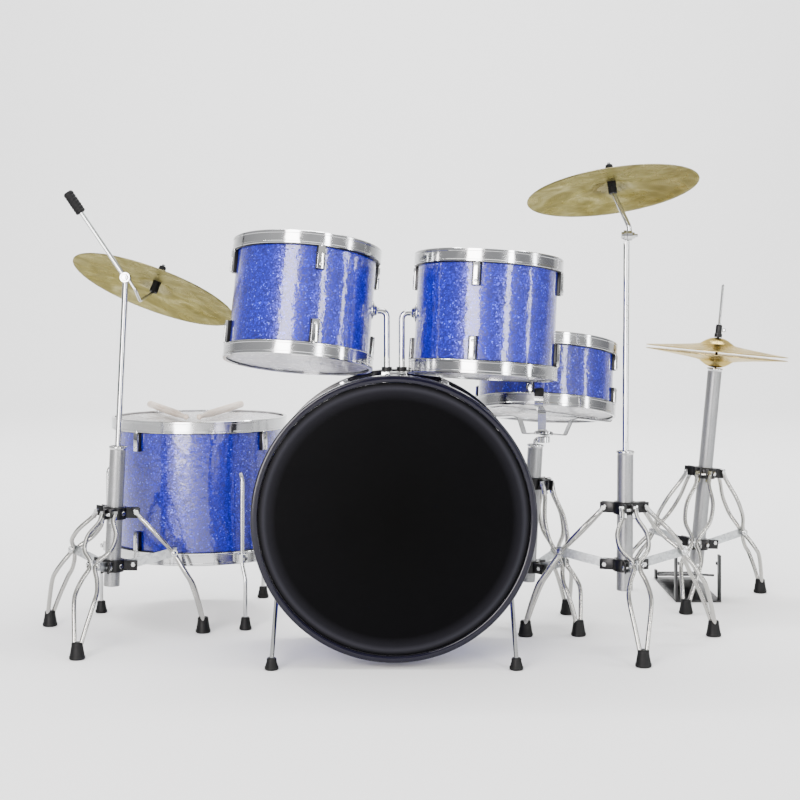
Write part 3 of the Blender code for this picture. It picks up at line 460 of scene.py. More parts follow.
def strap(bm, outline, width, thickness, place=Matrix()):
    """Flat strip; its middle line is the outline in local X and Z, its width local Y."""
    outline = [Vector(p) if len(p) == 3 else Vector((p[0], 0.0, p[1])) for p in outline]
    last = len(outline) - 1
    rings = []
    for k, point in enumerate(outline):
        ahead = (outline[min(k + 1, last)] - point).normalized() if k < last else Vector()
        behind = (point - outline[k - 1]).normalized() if k > 0 else Vector()
        along = (ahead + behind).normalized()
        corner = 1.0 if k in (0, last) else max(0.5, ahead.dot(along))
        up = Vector((-along.z, 0.0, along.x)) * thickness / 2 / corner
        wide = Vector((0.0, width / 2, 0.0))
        rings.append([bm.verts.new(place @ (point + shift))
                      for shift in (up + wide, up - wide, -up - wide, -up + wide)])
    skin(bm, rings, False)
    bm.faces.new(rings[0])
    bm.faces.new(rings[-1])


def around(degrees, radius=0.0, height=0.0):
    return (Matrix.Rotation(math.radians(degrees), 4, "Z")
            @ Matrix.Translation((radius, 0.0, height)))


def aimed(origin, direction):
    """Placement at the origin with local Z along the direction."""
    turn = Vector(direction).normalized().to_track_quat("Z", "Y").to_matrix().to_4x4()
    return Matrix.Translation(origin) @ turn


def piece(name, bm, looks, body, stands_for=(), place=Matrix(), sharp=38.0):
    bmesh.ops.recalc_face_normals(bm, faces=bm.faces)
    mesh = bpy.data.meshes.new(name)
    bm.to_mesh(mesh)
    bm.free()
    for look in looks if isinstance(looks, tuple) else (looks,):
        mesh.materials.append(look)
    mesh.shade_smooth()
    mesh.set_sharp_from_angle(angle=math.radians(sharp))
    made = bpy.data.objects.new(name, mesh)
    bpy.context.scene.collection.objects.link(made)
    made.matrix_world = place
    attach(made, body)
    if stands_for:
        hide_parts(*stands_for)
    return made


def hex_head(bm, place, radius, height):
    """Six-sided bolt head or nut with a chamfered top, on local Z."""
    turned(bm, [(0, 0), (radius, 0), (radius, height * 0.75), (radius * 0.82, height),
                (0, height)], 6, place)


# ---- drums --------------------------------------------------------------------------
GAP = 0.0003
WALL = 0.004
HEAD = 0.0015
SMOOTH_SIDES = 112


class Drum:
    """One drum along its own axis, local Z, with its middle at the place's origin."""

    def __init__(self, word, body, place, radius, hoop_radius, height, hoop=0.018,
                 flange=0.0025):
        self.word = word
        self.body = body
        self.place = place
        self.radius = radius
        self.hoop_radius = hoop_radius
        self.height = height
        self.hoop = hoop
        self.seat = height / 2 + GAP
        self.lip = self.seat + HEAD + GAP
        self.top = self.lip + flange

    def piece(self, part, bm, looks, slot, stands_for=(), sharp=38.0):
        names = [f"{self.word}_{end}" for end in stands_for]
        return piece(f"{self.word}_{part}", bm, looks, self.body, names, self.place,
                     sharp)


def wrapped_shell(drum, seam):
    """Ply tube with its bearing edges cut back, covered outside by the wrap and its seam."""
    r, inner, half = drum.radius, drum.radius - WALL, drum.height / 2
    bm = bmesh.new()
    levels = [-half + drum.height * k / 10 for k in range(11)]
    turned(bm, [(r, z) for z in levels] + [(r - 0.0012, half), (inner, half - 0.0030)]
           + [(inner, z) for z in (half * 0.5, 0.0, -half * 0.5)]
           + [(inner, -half + 0.0030), (r - 0.0012, -half)], SMOOTH_SIDES)
    for face in bm.faces:
        mid = face.calc_center_median()
        face.material_index = 0 if math.hypot(mid.x, mid.y) > r - 0.0006 else 1
    block(bm, (0.0008, 0.0140, drum.height - 0.001), around(seam, r), 0.0002)
    drum.piece("wrap", bm, (WRAP, PLY), "blue_sparkle_shell", ["shell"])


def head(drum, end, word, look, slot):
    """Film bent down over the shell's edge into its own metal ring, under the hoop."""
    top = drum.seat + HEAD
    r = drum.radius
    skin_line = [(0.0, top), (r * 0.5, top), (r - 0.0075, top), (r - 0.0020, top - 0.0002),
                 (r + 0.0002, top - 0.0009), (r + 0.0006, top - 0.0026)]
    under = [(max(x - 0.0003, 0.0), z - 0.0003) for x, z in reversed(skin_line)]
    bm = bmesh.new()
    turned(bm, [(x, end * z) for x, z in skin_line + under], SMOOTH_SIDES)
    drum.piece(f"{word}_film", bm, look, slot, [f"{word}_head"])
    inner, outer = r + 0.0008, drum.hoop_radius - 0.0026
    bm = bmesh.new()
    levels = sorted((end * (top - 0.0065), end * (top - 0.0004)))
    sleeve(bm, inner, max(outer, inner + 0.0016), *levels, SMOOTH_SIDES)
    drum.piece(f"{word}_film_ring", bm, PLASTIC, slot)


def chrome_hoop(drum, end, word):
    """Rolled steel strip bent to a band, its top edge folded in over the head's ring."""
    outer, inner = drum.hoop_radius, drum.hoop_radius - 0.0021
    low, high = drum.lip - drum.hoop, drum.top
    fold = drum.radius + 0.0014
    profile = [(inner, low + 0.0003), (inner + 0.0003, low), (outer - 0.0006, low),
               (outer, low + 0.0006), (outer, low + 0.0030), (outer - 0.0004, low + 0.0036),
               (outer - 0.0004, high - 0.0048), (outer, high - 0.0042), (outer, high - 0.0010),
               (outer - 0.0010, high), (fold + 0.0005, high), (fold, high - 0.0005),
               (fold, high - 0.0011), (inner, high - 0.0014)]
    bm = bmesh.new()
    turned(bm, [(x, end * z) for x, z in profile], SMOOTH_SIDES)
    drum.piece(f"{word}_band", bm, HOOP_CHROME, "chrome_hardware", [f"{word}_hoop"], 30.0)


def hoop_gap_shade_rings(drum):
    """Dark rings in the gap under each hoop's edge: painted shade, a black strip standing in for
    the shade between hoop and wrap.
    """
    bm = bmesh.new()
    for end in (-1, 1):
        edge = drum.lip - drum.hoop
        levels = sorted((end * (edge - 0.0012), end * (edge + 0.004)))
        sleeve(bm, drum.radius + 0.0001, drum.hoop_radius - 0.0028, *levels, SMOOTH_SIDES)
    drum.piece("hoop_gap_shade_rings", bm, PLASTIC, "black_hoop")


def lugs(drum, azimuths, size):
    """Plain chromed strips on dark seats, each with the screw that draws its hoop down."""
    deep, wide, tall = size
    level = drum.lip - drum.hoop - 0.0005 - tall / 2
    strips, seats = bmesh.new(), bmesh.new()
    for azimuth in azimuths:
        for end in (-1, 1):
            block(strips, (deep, wide - 0.0030, tall - 0.0014),
                  around(azimuth, drum.radius + deep / 2, end * level), 0.0007)
            block(seats, (deep * 0.62 + 0.001, wide, tall),
                  around(azimuth, drum.radius + deep * 0.31 - 0.0005, end * level), 0.0005)
            face = (around(azimuth, drum.radius + deep, end * (level - tall * 0.30))
                    @ Matrix.Rotation(math.radians(90.0), 4, "Y"))
            turned(strips, [(0, -0.001), (0.0024, -0.001), (0.0024, 0.0002),
                            (0.0017, 0.0008), (0, 0.0010)], 20, face)
            edge = around(azimuth, drum.radius + deep * 0.55,
                          end * (level + tall / 2 - 0.001))
            disc(strips, 0.0026, -0.004, 0.0045, 16, edge)
    drum.piece("lug_seats", seats, PLASTIC, "black_hoop")
    drum.piece("lugs", strips, CHROME, "chrome_hardware")


def drum_set(drum, seam, azimuths, lug_size):
    wrapped_shell(drum, seam)
    for end, word in ((1, "top"), (-1, "bottom")):
        head(drum, end, word, CLEAR_FILM, "clear_head")
        chrome_hoop(drum, end, word)
    # painted shade: dark rings under the hoops' edges
    hoop_gap_shade_rings(drum)
    lugs(drum, azimuths, lug_size)


def quarter_turns(first):
    return [first + 90.0 * k for k in range(4)]


# ---- bass drum ----------------------------------------------------------------------
BASS_CENTRE = Vector((-0.064, -0.3900, 0.2252))
BASS_DEPTH = 0.250
BASS_MIDDLE = BASS_CENTRE + Vector((0.0, BASS_DEPTH / 2, 0.0))
SPUR_FALL = math.radians(34.0)
SPUR_Y = BASS_CENTRE.y + 0.062
SPUR_SEAT = 0.0070
SPUR_TIP = Vector((0.1835, BASS_CENTRE.y + 0.0015, 0.018))


def spur_out(side):
    return Vector((side * math.cos(SPUR_FALL), 0.0, -math.sin(SPUR_FALL)))


def rubber_foot(bm, ground, radius, height):
    """Moulded cap: a flared tread, a tapered body and a collar round the leg."""
    turned(bm, [(0, 0), (radius - 0.0012, 0), (radius, 0.0012), (radius, 0.0045),
                (radius - 0.0010, 0.0060), (radius * 0.72, height - 0.0050),
                (radius * 0.72, height - 0.0020), (radius * 0.60, height), (0, height)],
           28, Matrix.Translation(ground))


def bass_drum():
    lay = Matrix.Translation(BASS_MIDDLE) @ Matrix.Rotation(math.radians(90.0), 4, "X")
    height = BASS_DEPTH - 2 * (HEAD + 2 * GAP + 0.003)
    drum = Drum("bass", "kit", lay, BASS_RADIUS, 0.2157, height, 0.030, 0.0030)
    wrapped_shell(drum, 90.0)
    head(drum, 1, "front", BLACK_FILM, "black_head")
    head(drum, -1, "back", CLEAR_FILM, "clear_head")
    lugs(drum, [22.5 + 45.0 * k for k in range(8)], (0.010, 0.016, 0.045))
    for end, word in ((1, "front"), (-1, "back")):
        lacquered_hoop(drum, end, word)
    spur_brackets()


def lacquered_hoop(drum, end, word):
    """Wooden ring with a well-rounded outer edge, under black lacquer."""
    low, high = drum.lip - drum.hoop, drum.top
    inner, outer = drum.radius + 0.0012, drum.hoop_radius
    small, large = 0.0015, 0.0028
    profile = [(inner, low + 0.0008), (inner + 0.0008, low), (outer - small, low)]
    profile += [(outer - small * (1 - math.sin(a)), low + small * (1 - math.cos(a)))
                for a in (math.radians(45), math.radians(90))]
    profile += [(outer - large * (1 - math.cos(a)), high - large * (1 - math.sin(a)))
                for a in [math.radians(22.5 * k) for k in range(5)]]
    profile += [(inner + 0.0014, high), (inner + 0.0004, high - 0.0004),
                (inner, high - 0.0014)]
    bm = bmesh.new()
    turned(bm, [(x, end * z) for x, z in profile], 144)
    drum.piece(f"{word}_ring", bm, LACQUER, "black_hoop", [f"{word}_hoop"], 40.0)


def spur_brackets():
    bm = bmesh.new()
    for side in (-1, 1):
        out = spur_out(side)
        seat = Vector((BASS_CENTRE.x, SPUR_Y, BASS_CENTRE.z)) + out * BASS_RADIUS
        turned(bm, [(0, -0.003), (0.0170, -0.003), (0.0170, 0.0012), (0.0140, 0.0026),
                    (0.0128, SPUR_SEAT), (0, SPUR_SEAT)], 36, aimed(seat, out))
    piece("spur_brackets", bm, CHROME, "kit")


def spurs():
    """Chromed rods that turn on a serrated hub, each with a rubber cap on the floor."""
    for side, word in ((-1, "left"), (1, "right")):
        out = spur_out(side)
        hub = (Vector((BASS_CENTRE.x, SPUR_Y, BASS_CENTRE.z))
               + out * (BASS_RADIUS + SPUR_SEAT + GAP * 2))
        ground = Vector((BASS_CENTRE.x + side * SPUR_TIP.x, SPUR_TIP.y, 0.0))
        bm = bmesh.new()
        turned(bm, [(0, 0), (0.0115, 0), (0.0115, 0.0030), (0.0090, 0.0040), (0.0090, 0.0088),
                    (0.0075, 0.0100), (0, 0.0100)], 36, aimed(hub, out))
        hex_head(bm, aimed(hub + out * 0.0100, out), 0.0050, 0.0030)
        wire(bm, [hub + out * 0.0050, ground + Vector((0, 0, 0.0140))], 0.0035)
        piece(f"spur_{word}_rod", bm, CHROME, f"spur_{word}",
              [f"bass_spur_{word}"])
        bm = bmesh.new()
        rubber_foot(bm, ground, 0.0105, 0.0180)
        piece(f"spur_{word}_cap", bm, RUBBER, f"spur_{word}")


# ---- hanging toms -------------------------------------------------------------------
TOM_Y = BASS_CENTRE.y + 0.125
POST_X = 0.0118
ARM_REACH = 0.0145
ARM_RADIUS = 0.005


def tom_mount():
    deck = BASS_CENTRE.z + BASS_RADIUS + 0.0008
    middle = Vector((BASS_CENTRE.x, TOM_Y, deck + 0.00525))
    bm = bmesh.new()
    block(bm, (2 * POST_X + 0.017, 0.022, 0.0105), Matrix.Translation(middle), 0.0012)
    for side in (-1, 1):
        front = middle + Vector((side * POST_X, -0.0110, 0.0))
        hex_head(bm, aimed(front, (0, -1, 0)), 0.0036, 0.0028)
    piece("tom_mount_block", bm, CHROME, "kit", ["tom_mount"])


def toms():
    for word, side, boss_z, back, lean, lug in (("left", -1, 0.5370, 10.0, 4.4, -76.0),
                                                ("right", 1, 0.5340, 5.0, 3.4, -102.0)):
        corner = Vector((BASS_CENTRE.x + side * POST_X, TOM_Y, boss_z))
        foot = Vector((corner.x, corner.y, BASS_CENTRE.z + BASS_RADIUS + 0.0012))
        bm = bmesh.new()
        wire(bm, softened([foot, corner, corner + Vector((side * ARM_REACH, 0, 0))],
                          ARM_REACH - 0.0030, 12), ARM_RADIUS, 24)
        piece(f"tom_arm_{word}_rod", bm, CHROME, f"tom_arm_{word}",
              [f"tom_arm_{word}"])
        bm = bmesh.new()
        sleeve(bm, ARM_RADIUS + 0.0001, 0.0082, 0.0112, 0.0182, 28,
               Matrix.Translation((foot.x, foot.y, foot.z - 0.0004)))
        piece(f"tom_arm_{word}_stop", bm, PLASTIC, f"tom_arm_{word}")
        hub = corner + Vector((side * (ARM_REACH + 3 * GAP), 0, 0))
        tilt = Matrix.Translation(hub) @ (Matrix.Rotation(math.radians(lean), 4, "Y")
                                          @ Matrix.Rotation(math.radians(-back), 4, "X"))
        deep = 0.0060
        shift = Vector((side * (deep + GAP * 3 + 0.1105), 0, 0))
        drum = Drum(f"tom_{word}", f"tom_{word}", tilt @ Matrix.Translation(shift), 0.1105, 0.118,
                    0.181)
        drum_set(drum, 90.0, quarter_turns(lug), (0.009, 0.014, 0.036))
        bm = bmesh.new()
        turned(bm, [(0, 0), (0.0068, 0), (0.0074, 0.0006), (0.0086, 0.0030), (0.0112, 0.0048),
                    (0.0145, deep), (0.0155, deep + 0.0012), (0.0155, deep + 0.0040),
                    (0, deep + 0.0040)], 40, aimed(-shift, (side, 0, 0)))
        drum.piece("boss", bm, CHROME, "chrome_hardware", sharp=50.0)


# ---- floor tom and sticks -----------------------------------------------------------
FLOOR_CENTRE = Vector((-0.410, 0.0500, 0.2285))
FLOOR_UPPER = 0.154 + 0.0085
FLOOR_LOWER = 0.154 + 0.0205


def floor_tom():
    drum = Drum("floor_tom", "floor_tom", Matrix.Translation(FLOOR_CENTRE), 0.147, 0.154, 0.233)
    drum_set(drum, 110.0, quarter_turns(-127.0), (0.009, 0.012, 0.032))
    clamps = bmesh.new()
    low = -drum.lip + 0.0010
    for number, azimuth in enumerate((-57.0, 55.0, 180.0), 1):
        place = around(azimuth, FLOOR_UPPER)
        sleeve(clamps, 0.0040, 0.0092, low, low + 0.0155, 28, place, 0.0008)
        hex_head(clamps, place @ Matrix.Translation((0.0088, 0, low + 0.0078))
                 @ Matrix.Rotation(math.radians(90.0), 4, "Y"), 0.0040, 0.0050)
        turn = Matrix.Translation((FLOOR_CENTRE.x, FLOOR_CENTRE.y, 0.0)) @ around(azimuth)
        route = softened([(FLOOR_UPPER - 0.0065, 0, 0.2600), (FLOOR_UPPER, 0, 0.2520),
                          (FLOOR_UPPER, 0, 0.1080), (FLOOR_LOWER, 0, 0.0840),
                          (FLOOR_LOWER, 0, 0.0160)], 0.006, 6)
        bm = bmesh.new()
        wire(bm, [turn @ p for p in route], 0.0035)
        piece(f"floor_leg_{number}_rod", bm, CHROME, "kit",
              [f"floor_tom_leg_{number}"])
        bm = bmesh.new()
        rubber_foot(bm, turn @ Vector((FLOOR_LOWER, 0, 0)), 0.0105, 0.021)
        piece(f"floor_leg_{number}_cap", bm, RUBBER, "kit")
    drum.piece("leg_clamps", clamps, CHROME, "chrome_hardware")
    sticks(drum)


def sticks(drum):
    for word, tip_x, butt_x in (("left", -0.0070, -0.1150), ("right", 0.0125, 0.0560)):
        r = 0.0065
        tip = Vector((tip_x, -0.118, drum.seat + HEAD + r + 0.0016))
        butt = Vector((butt_x, 0.172, drum.top + r + 0.0022))
        length = (butt - tip).length
        bead = [(0.0048 * math.sin(a), 0.0058 - 0.0058 * math.cos(a))
                for a in [math.radians(20 * k) for k in range(8)]]
        profile = bead + [(0.0029, 0.0125), (0.0035, 0.0260), (0.0048, 0.0480), (r, 0.0800),
                          (r, length * 0.6), (r, length - 0.0040), (r - 0.0012, length - 0.0012),
                          (r - 0.0030, length), (0.0, length)]
        bm = bmesh.new()
        turned(bm, profile, 28)
        piece(f"stick_{word}", bm, MAPLE, "floor_tom", [f"drumstick_{word}"],
              drum.place @ aimed(tip, butt - tip), 60.0)


# ---- tripod stands ------------------------------------------------------------------
TUBE = 0.013
ROD = 0.005
HIHAT_ROD = 0.0025
COLLAR = 0.020
EAR = 0.040
FOOT = 0.026


class Stand:
    def __init__(self, word, x, y, lean, tube, collar, clamp, spread, azimuths, bore=ROD):
        self.word = word
        self.base = Vector((x, y, 0.0))
        self.lean = math.radians(lean)
        self.axis = Vector((math.sin(self.lean), 0.0, math.cos(self.lean)))
        self.low, self.high = tube
        self.collar = collar
        self.clamp = clamp
        self.spread = spread
        self.azimuths = azimuths
        self.bore = bore

    def at(self, height):
        return self.base + self.axis * (height / self.axis.z)

    def place(self, height):
        return Matrix.Translation(self.at(height)) @ Matrix.Rotation(self.lean, 4, "Y")


STANDS = {
    "left": Stand("left", -0.5315, -0.1650, 2.6, (0.086, 0.315), 0.196, 0.110, 0.155,
                  (17.0, 140.0, 262.0)),
    "right": Stand("right", 0.3070, -0.2050, 0.3, (0.086, 0.311), 0.209, 0.117, 0.165,
                   (20.0, 160.0, 272.0)),
    "hihat": Stand("hihat", 0.4890, 0.1850, 5.5, (0.066, 0.428), 0.2236, 0.092, 0.150,
                   (23.0, 140.0, 255.0), HIHAT_ROD),
    "snare": Stand("snare", 0.1580, -0.0550, 3.4, (0.074, 0.308), 0.232, 0.090, 0.122,
                   (-48.0, 48.0, 180.0)),
}
TO_KNEE = ((0.00, 0.0104), (0.08, 0.0108), (0.18, 0.0128), (0.40, 0.0225), (0.58, 0.0240),
           (0.74, 0.0205), (0.90, 0.0085), (0.98, 0.0050))     # share of the way, half width
TO_FOOT = ((0.12, 0.0052), (0.34, 0.0118), (0.62, 0.0168), (0.88, 0.0160))


def stand_tube(stand):
    """Enamelled tube with a rolled bright lip and a dark bush."""
    inner = TUBE - 0.0016
    length = (stand.high - stand.low) / stand.axis.z
    bm = bmesh.new()
    sleeve(bm, inner, TUBE, 0.0, length - 0.0042, 48, edge=0.0005)
    place = stand.place(stand.low)
    piece(f"{stand.word}_tube", bm, ENAMEL, "kit",
          [f"{stand.word}_stand_tube"], place)
    bm = bmesh.new()
    turned(bm, [(inner, length - 0.016), (TUBE + 0.0002, length - 0.0046),
                (TUBE + 0.0015, length - 0.0036), (TUBE + 0.0016, length - 0.0012),
                (TUBE + 0.0008, length - 0.0002), (inner, length - 0.0002)], 48)
    piece(f"{stand.word}_tube_lip", bm, CHROME, "kit", place=place, sharp=55.0)
    bm = bmesh.new()
    sleeve(bm, stand.bore + 0.0004, inner - 0.0001, length - 0.014, length - 0.0006, 36)
    piece(f"{stand.word}_tube_bush", bm, PLASTIC, "kit", place=place)


def leg_points(stand, out):
    hub = stand.at(stand.collar + COLLAR / 2)
    start = hub + out * (EAR - 0.007)
    reach = 0.62 * (stand.spread - EAR) + EAR - 0.012
    knee = stand.at(stand.clamp + 0.026) + out * reach
    foot = stand.base + out * stand.spread + Vector((0, 0, FOOT - 0.008))
    low = knee.lerp(foot, 0.55) + out * 0.008 + Vector((0, 0, 0.004))
    return start, knee, low, foot


def collars(stand, dark, plates):
    """Two moulded collars on the tube, each with three pairs of ears and a locking screw."""
    for height in (stand.collar, stand.clamp):
        place = stand.place(height)
        sleeve(dark, TUBE + 0.0006, TUBE + 0.0062, 0.0, COLLAR, 44, place, 0.0012)
        middle = place @ Matrix.Translation((0, 0, COLLAR / 2))
        for azimuth in stand.azimuths:
            for side in (-1, 1):
                block(dark, (EAR - TUBE - 0.003, 0.0030, COLLAR - 0.003),
                      middle @ around(azimuth, (EAR + TUBE + 0.003) / 2)
                      @ Matrix.Translation((0, side * 0.0055, 0)), 0.0009)
            block(dark, (0.0110, 0.0130, COLLAR - 0.004),
                  middle @ around(azimuth, TUBE + 0.0085), 0.0010)
        screw = middle @ around(stand.azimuths[2] + 58.0, TUBE + 0.0060)
        hex_head(plates, screw @ Matrix.Rotation(math.radians(90.0), 4, "Y"), 0.0042, 0.0036)


def leg(stand, out, rods, plates):
    """Two bent rods side by side, which bulge and pinch, joined at ears, knee and foot."""
    across = Vector((-out.y, out.x, 0.0))
    start, knee, low, foot = leg_points(stand, out)
    route = [(start.lerp(knee, t), half) for t, half in TO_KNEE]
    route += [(knee.lerp(low, t), half) for t, half in TO_FOOT]
    route += [(low.lerp(foot, 0.45), 0.0100), (foot, 0.0046)]
    lie = (knee - start).normalized().to_track_quat("X", "Y").to_matrix().to_4x4()
    for side in (-1, 1):
        aside = across * side
        wire(rods, smooth([middle + aside * half for middle, half in route], 5), 0.0037, 14)
        top = start + aside * 0.0098
        strap(plates, [(-0.0060, 0.0), (0.0, 0.0), (0.0160, 0.0)], 0.0036, 0.0098,
              Matrix.Translation(top) @ lie)
        hex_head(plates, aimed(top + aside * 0.0016, aside), 0.0045, 0.0030)
        disc(plates, 0.0058, 0.0, 0.0014, 28, aimed(knee + aside * 0.0082, aside), 0.0004)
        turned(plates, [(0, 0), (0.0034, 0), (0.0028, 0.0012), (0.0014, 0.0018),
                        (0, 0.0020)], 20, aimed(knee + aside * 0.0096, aside))
    disc(plates, 0.0024, -0.0110, 0.0110, 16, aimed(start, across))
    disc(plates, 0.0030, -0.0085, 0.0085, 16, aimed(knee, across))
    return knee, foot, across


def brace(stand, out, knee, across, braces, plates):
    """Flat strip from the lower collar's ears out to the knee, on its own pin."""
    level = stand.at(stand.clamp + COLLAR / 2)
    root = level + out * (EAR - 0.014)
    reach = knee - root
    bearing = math.degrees(math.atan2(reach.y, reach.x))
    flat = math.hypot(reach.x, reach.y)
    strap(braces, [(-0.0015, 0.0), (0.0015, 0.0), (flat, reach.z), (flat + 0.0055, reach.z)],
          0.0018, 0.0150, Matrix.Translation(root) @ around(bearing))
    pin = level + out * (EAR - 0.008)
    disc(plates, 0.0022, -0.0085, 0.0085, 16, aimed(pin, across))
    for side in (-1, 1):
        aside = across * side
        hex_head(plates, aimed(pin + aside * 0.0070, aside), 0.0040, 0.0026)


def tripod(stand):
    rods, plates, dark, braces, feet = [bmesh.new() for _ in range(5)]
    collars(stand, dark, plates)
    for azimuth in stand.azimuths:
        turn = math.radians(azimuth)
        out = Vector((math.cos(turn), math.sin(turn), 0.0))
        knee, foot, across = leg(stand, out, rods, plates)
        rubber_foot(feet, Vector((foot.x, foot.y, 0.0)), 0.0125, FOOT)
        brace(stand, out, knee, across, braces, plates)
    word = stand.word
    piece(f"{word}_legs", rods, NICKEL, "kit", [f"{word}_stand_tripod"])
    piece(f"{word}_leg_plates", plates, CHROME, "kit")
    piece(f"{word}_collars", dark, PLASTIC, "kit")
    piece(f"{word}_braces", braces, ZINC, "kit")
    piece(f"{word}_leg_caps", feet, RUBBER, "kit")


# ---- cymbals ------------------------------------------------------------------------
BOLT = 0.0028
EYE = 0.0085
FIXED_EYE = 0.0049
MOVING_EYE = 0.0088
ARM_LEVEL = 0.0045
LOW_SLEEVE = (-0.0040, 0.0178)
HIGH_SLEEVE = (0.0206, 0.0450)
CRASH_RISE = 0.020
BOOM_CRASH = Vector((-0.4800, -0.0230, 0.5710))
BOOM_UP = Vector((0.306, 0.290, 0.907)).normalized()
RIGHT_CRASH = Vector((0.2914, -0.1820, 0.7310))
RIGHT_UP = Vector((-0.113, 0.217, 0.970)).normalized()


def bronze_plate(name, radius, rise, look, body, node, place):
    """Bell and bow in one smooth curve, 1.2 mm thick, its rim rounded over."""
    bell, hole = 0.24 * radius, 0.0045
    line = []
    for k in range(9):
        x = hole + (bell - hole) * k / 8
        line.append((x, rise * (0.48 + 0.52 * math.cos(math.pi / 2 * (x / bell) ** 1.25))))
    for k in range(1, 15):
        share = k / 14
        line.append((bell + (radius - 0.0003 - bell) * share, rise * 0.48 * (1 - share ** 0.80)))
    under = [(x, z - 0.0012) for x, z in reversed(line)]
    bm = bmesh.new()
    turned(bm, line + [(radius, -0.0003), (radius, -0.0009)] + under, 144)
    piece(name, bm, look, body, [node], place, 60.0)


def pivot(bm_fixed, bm_moving, centre, axis):
    """Toothed joint: bolt and fixed half in one mesh, the turning half in the other."""
    turn = aimed(centre, axis)
    turned(bm_fixed, [(0, -FIXED_EYE - 0.0036), (0.0048, -FIXED_EYE - 0.0036),
                      (0.0058, -FIXED_EYE - 0.0028), (0.0058, -FIXED_EYE),
                      (EYE - 0.0006, -FIXED_EYE), (EYE, -FIXED_EYE + 0.0006), (EYE, -GAP),
                      (BOLT, -GAP), (BOLT, MOVING_EYE + 0.0093), (0, MOVING_EYE + 0.0093)],
           40, turn)
    hex_head(bm_fixed, turn @ Matrix.Translation((0, 0, MOVING_EYE + GAP)), 0.0060, 0.0042)
    sleeve(bm_moving, BOLT + 0.0004, EYE, GAP, MOVING_EYE, 40, turn, 0.0006)


def post_and_sleeves(word, body, centre, up):
    """Threaded post with a rubber sleeve below the bell, and another above it."""
    place = aimed(centre, up)
    bm = bmesh.new()
    low, high = LOW_SLEEVE, HIGH_SLEEVE
    turned(bm, [(0, low[0]), (0.0066, low[0]), (0.0072, low[0] + 0.0006), (0.0072, 0.0060),
                (0.0066, 0.0066), (0.0066, 0.0078), (0.0072, 0.0084), (0.0072, low[1]),
                (0, low[1])],
           32, place)
    turned(bm, [(0, high[0]), (0.0072, high[0]), (0.0072, high[0] + 0.0050),
                (0.0064, high[0] + 0.0058), (0.0064, high[1] - 0.0030),
                (0.0056, high[1]), (0, high[1])], 32, place)
    piece(f"{word}_sleeves", bm, RUBBER, body)
    bm = bmesh.new()
    ridges = []
    for k in range(10):
        z = high[1] - 0.001 + 0.0005 * k
        ridges += [(0.0028, z), (0.0023, z + 0.00025)]
    turned(bm, [(0, low[1] - 0.002), (0.0028, low[1] - 0.002), *ridges, (0, ridges[-1][1])],
           20, place)
    piece(f"{word}_post", bm, STEEL_WIRE, body)


def upper_rod(stand, bm, top):
    """Chromed rod up from inside the tube to just under the pivot."""
    low = stand.at(stand.high) - stand.axis * 0.120
    up = stand.at(top) - stand.axis * (EYE + 0.0010)
    wire(bm, [low, stand.at(stand.high), up - stand.axis * 0.001, up], ROD, 28)


def left_crash():
    stand = STANDS["left"]
    pivot_at = stand.at(0.591)
    fixed, moving = bmesh.new(), bmesh.new()
    upper_rod(stand, fixed, 0.591)
    axis = Vector((0, -1, 0))
    pivot(fixed, moving, pivot_at, axis)
    block(fixed, (0.0080, 0.0039, 0.0100),
          Matrix.Translation(pivot_at - stand.axis * (EYE + 0.0010) - axis * FIXED_EYE / 2),
          0.0006)
    piece("left_upper_rod", fixed, CHROME, "left_rod", ["left_rod"])
    aside = pivot_at + axis * ARM_LEVEL
    along = Vector((-0.0930, 0, 0.1370)).normalized()
    wire(moving, [aside + along * 0.0062, aside + along * 0.132], 0.0036, 20)
    seat = BOOM_CRASH + BOOM_UP * LOW_SLEEVE[0]
    wire(moving, softened([aside + Vector((0.0060, 0, -0.0035)),
                           aside + Vector((0.0170, 0, -0.0210)),
                           pivot_at + Vector((0.0200, 0.0220, -0.0380)), seat,
                           seat + BOOM_UP * 0.0050], 0.0030, 6), 0.0026, 18)
    piece("left_boom_arm", moving, CHROME, "left_boom", ["left_boom"])
    grip = [(0, 0.128), (0.0070, 0.128), (0.0085, 0.1295)]
    for k in range(6):
        z = 0.132 + 0.0055 * k
        grip += [(0.0085, z), (0.0079, z + 0.0008), (0.0079, z + 0.0016), (0.0085, z + 0.0024)]
    grip += [(0.0085, 0.1655), (0.0068, 0.1680), (0, 0.1680)]
    bm = bmesh.new()
    turned(bm, grip, 32, aimed(aside, along))
    piece("left_boom_grip", bm, RUBBER, "left_boom")
    post_and_sleeves("left", "left_boom", BOOM_CRASH, BOOM_UP)
    bronze_plate("left_crash", 0.1470, CRASH_RISE, CRASH_BRONZE, "left_crash",
                 "left_crash_cymbal", aimed(BOOM_CRASH, BOOM_UP))


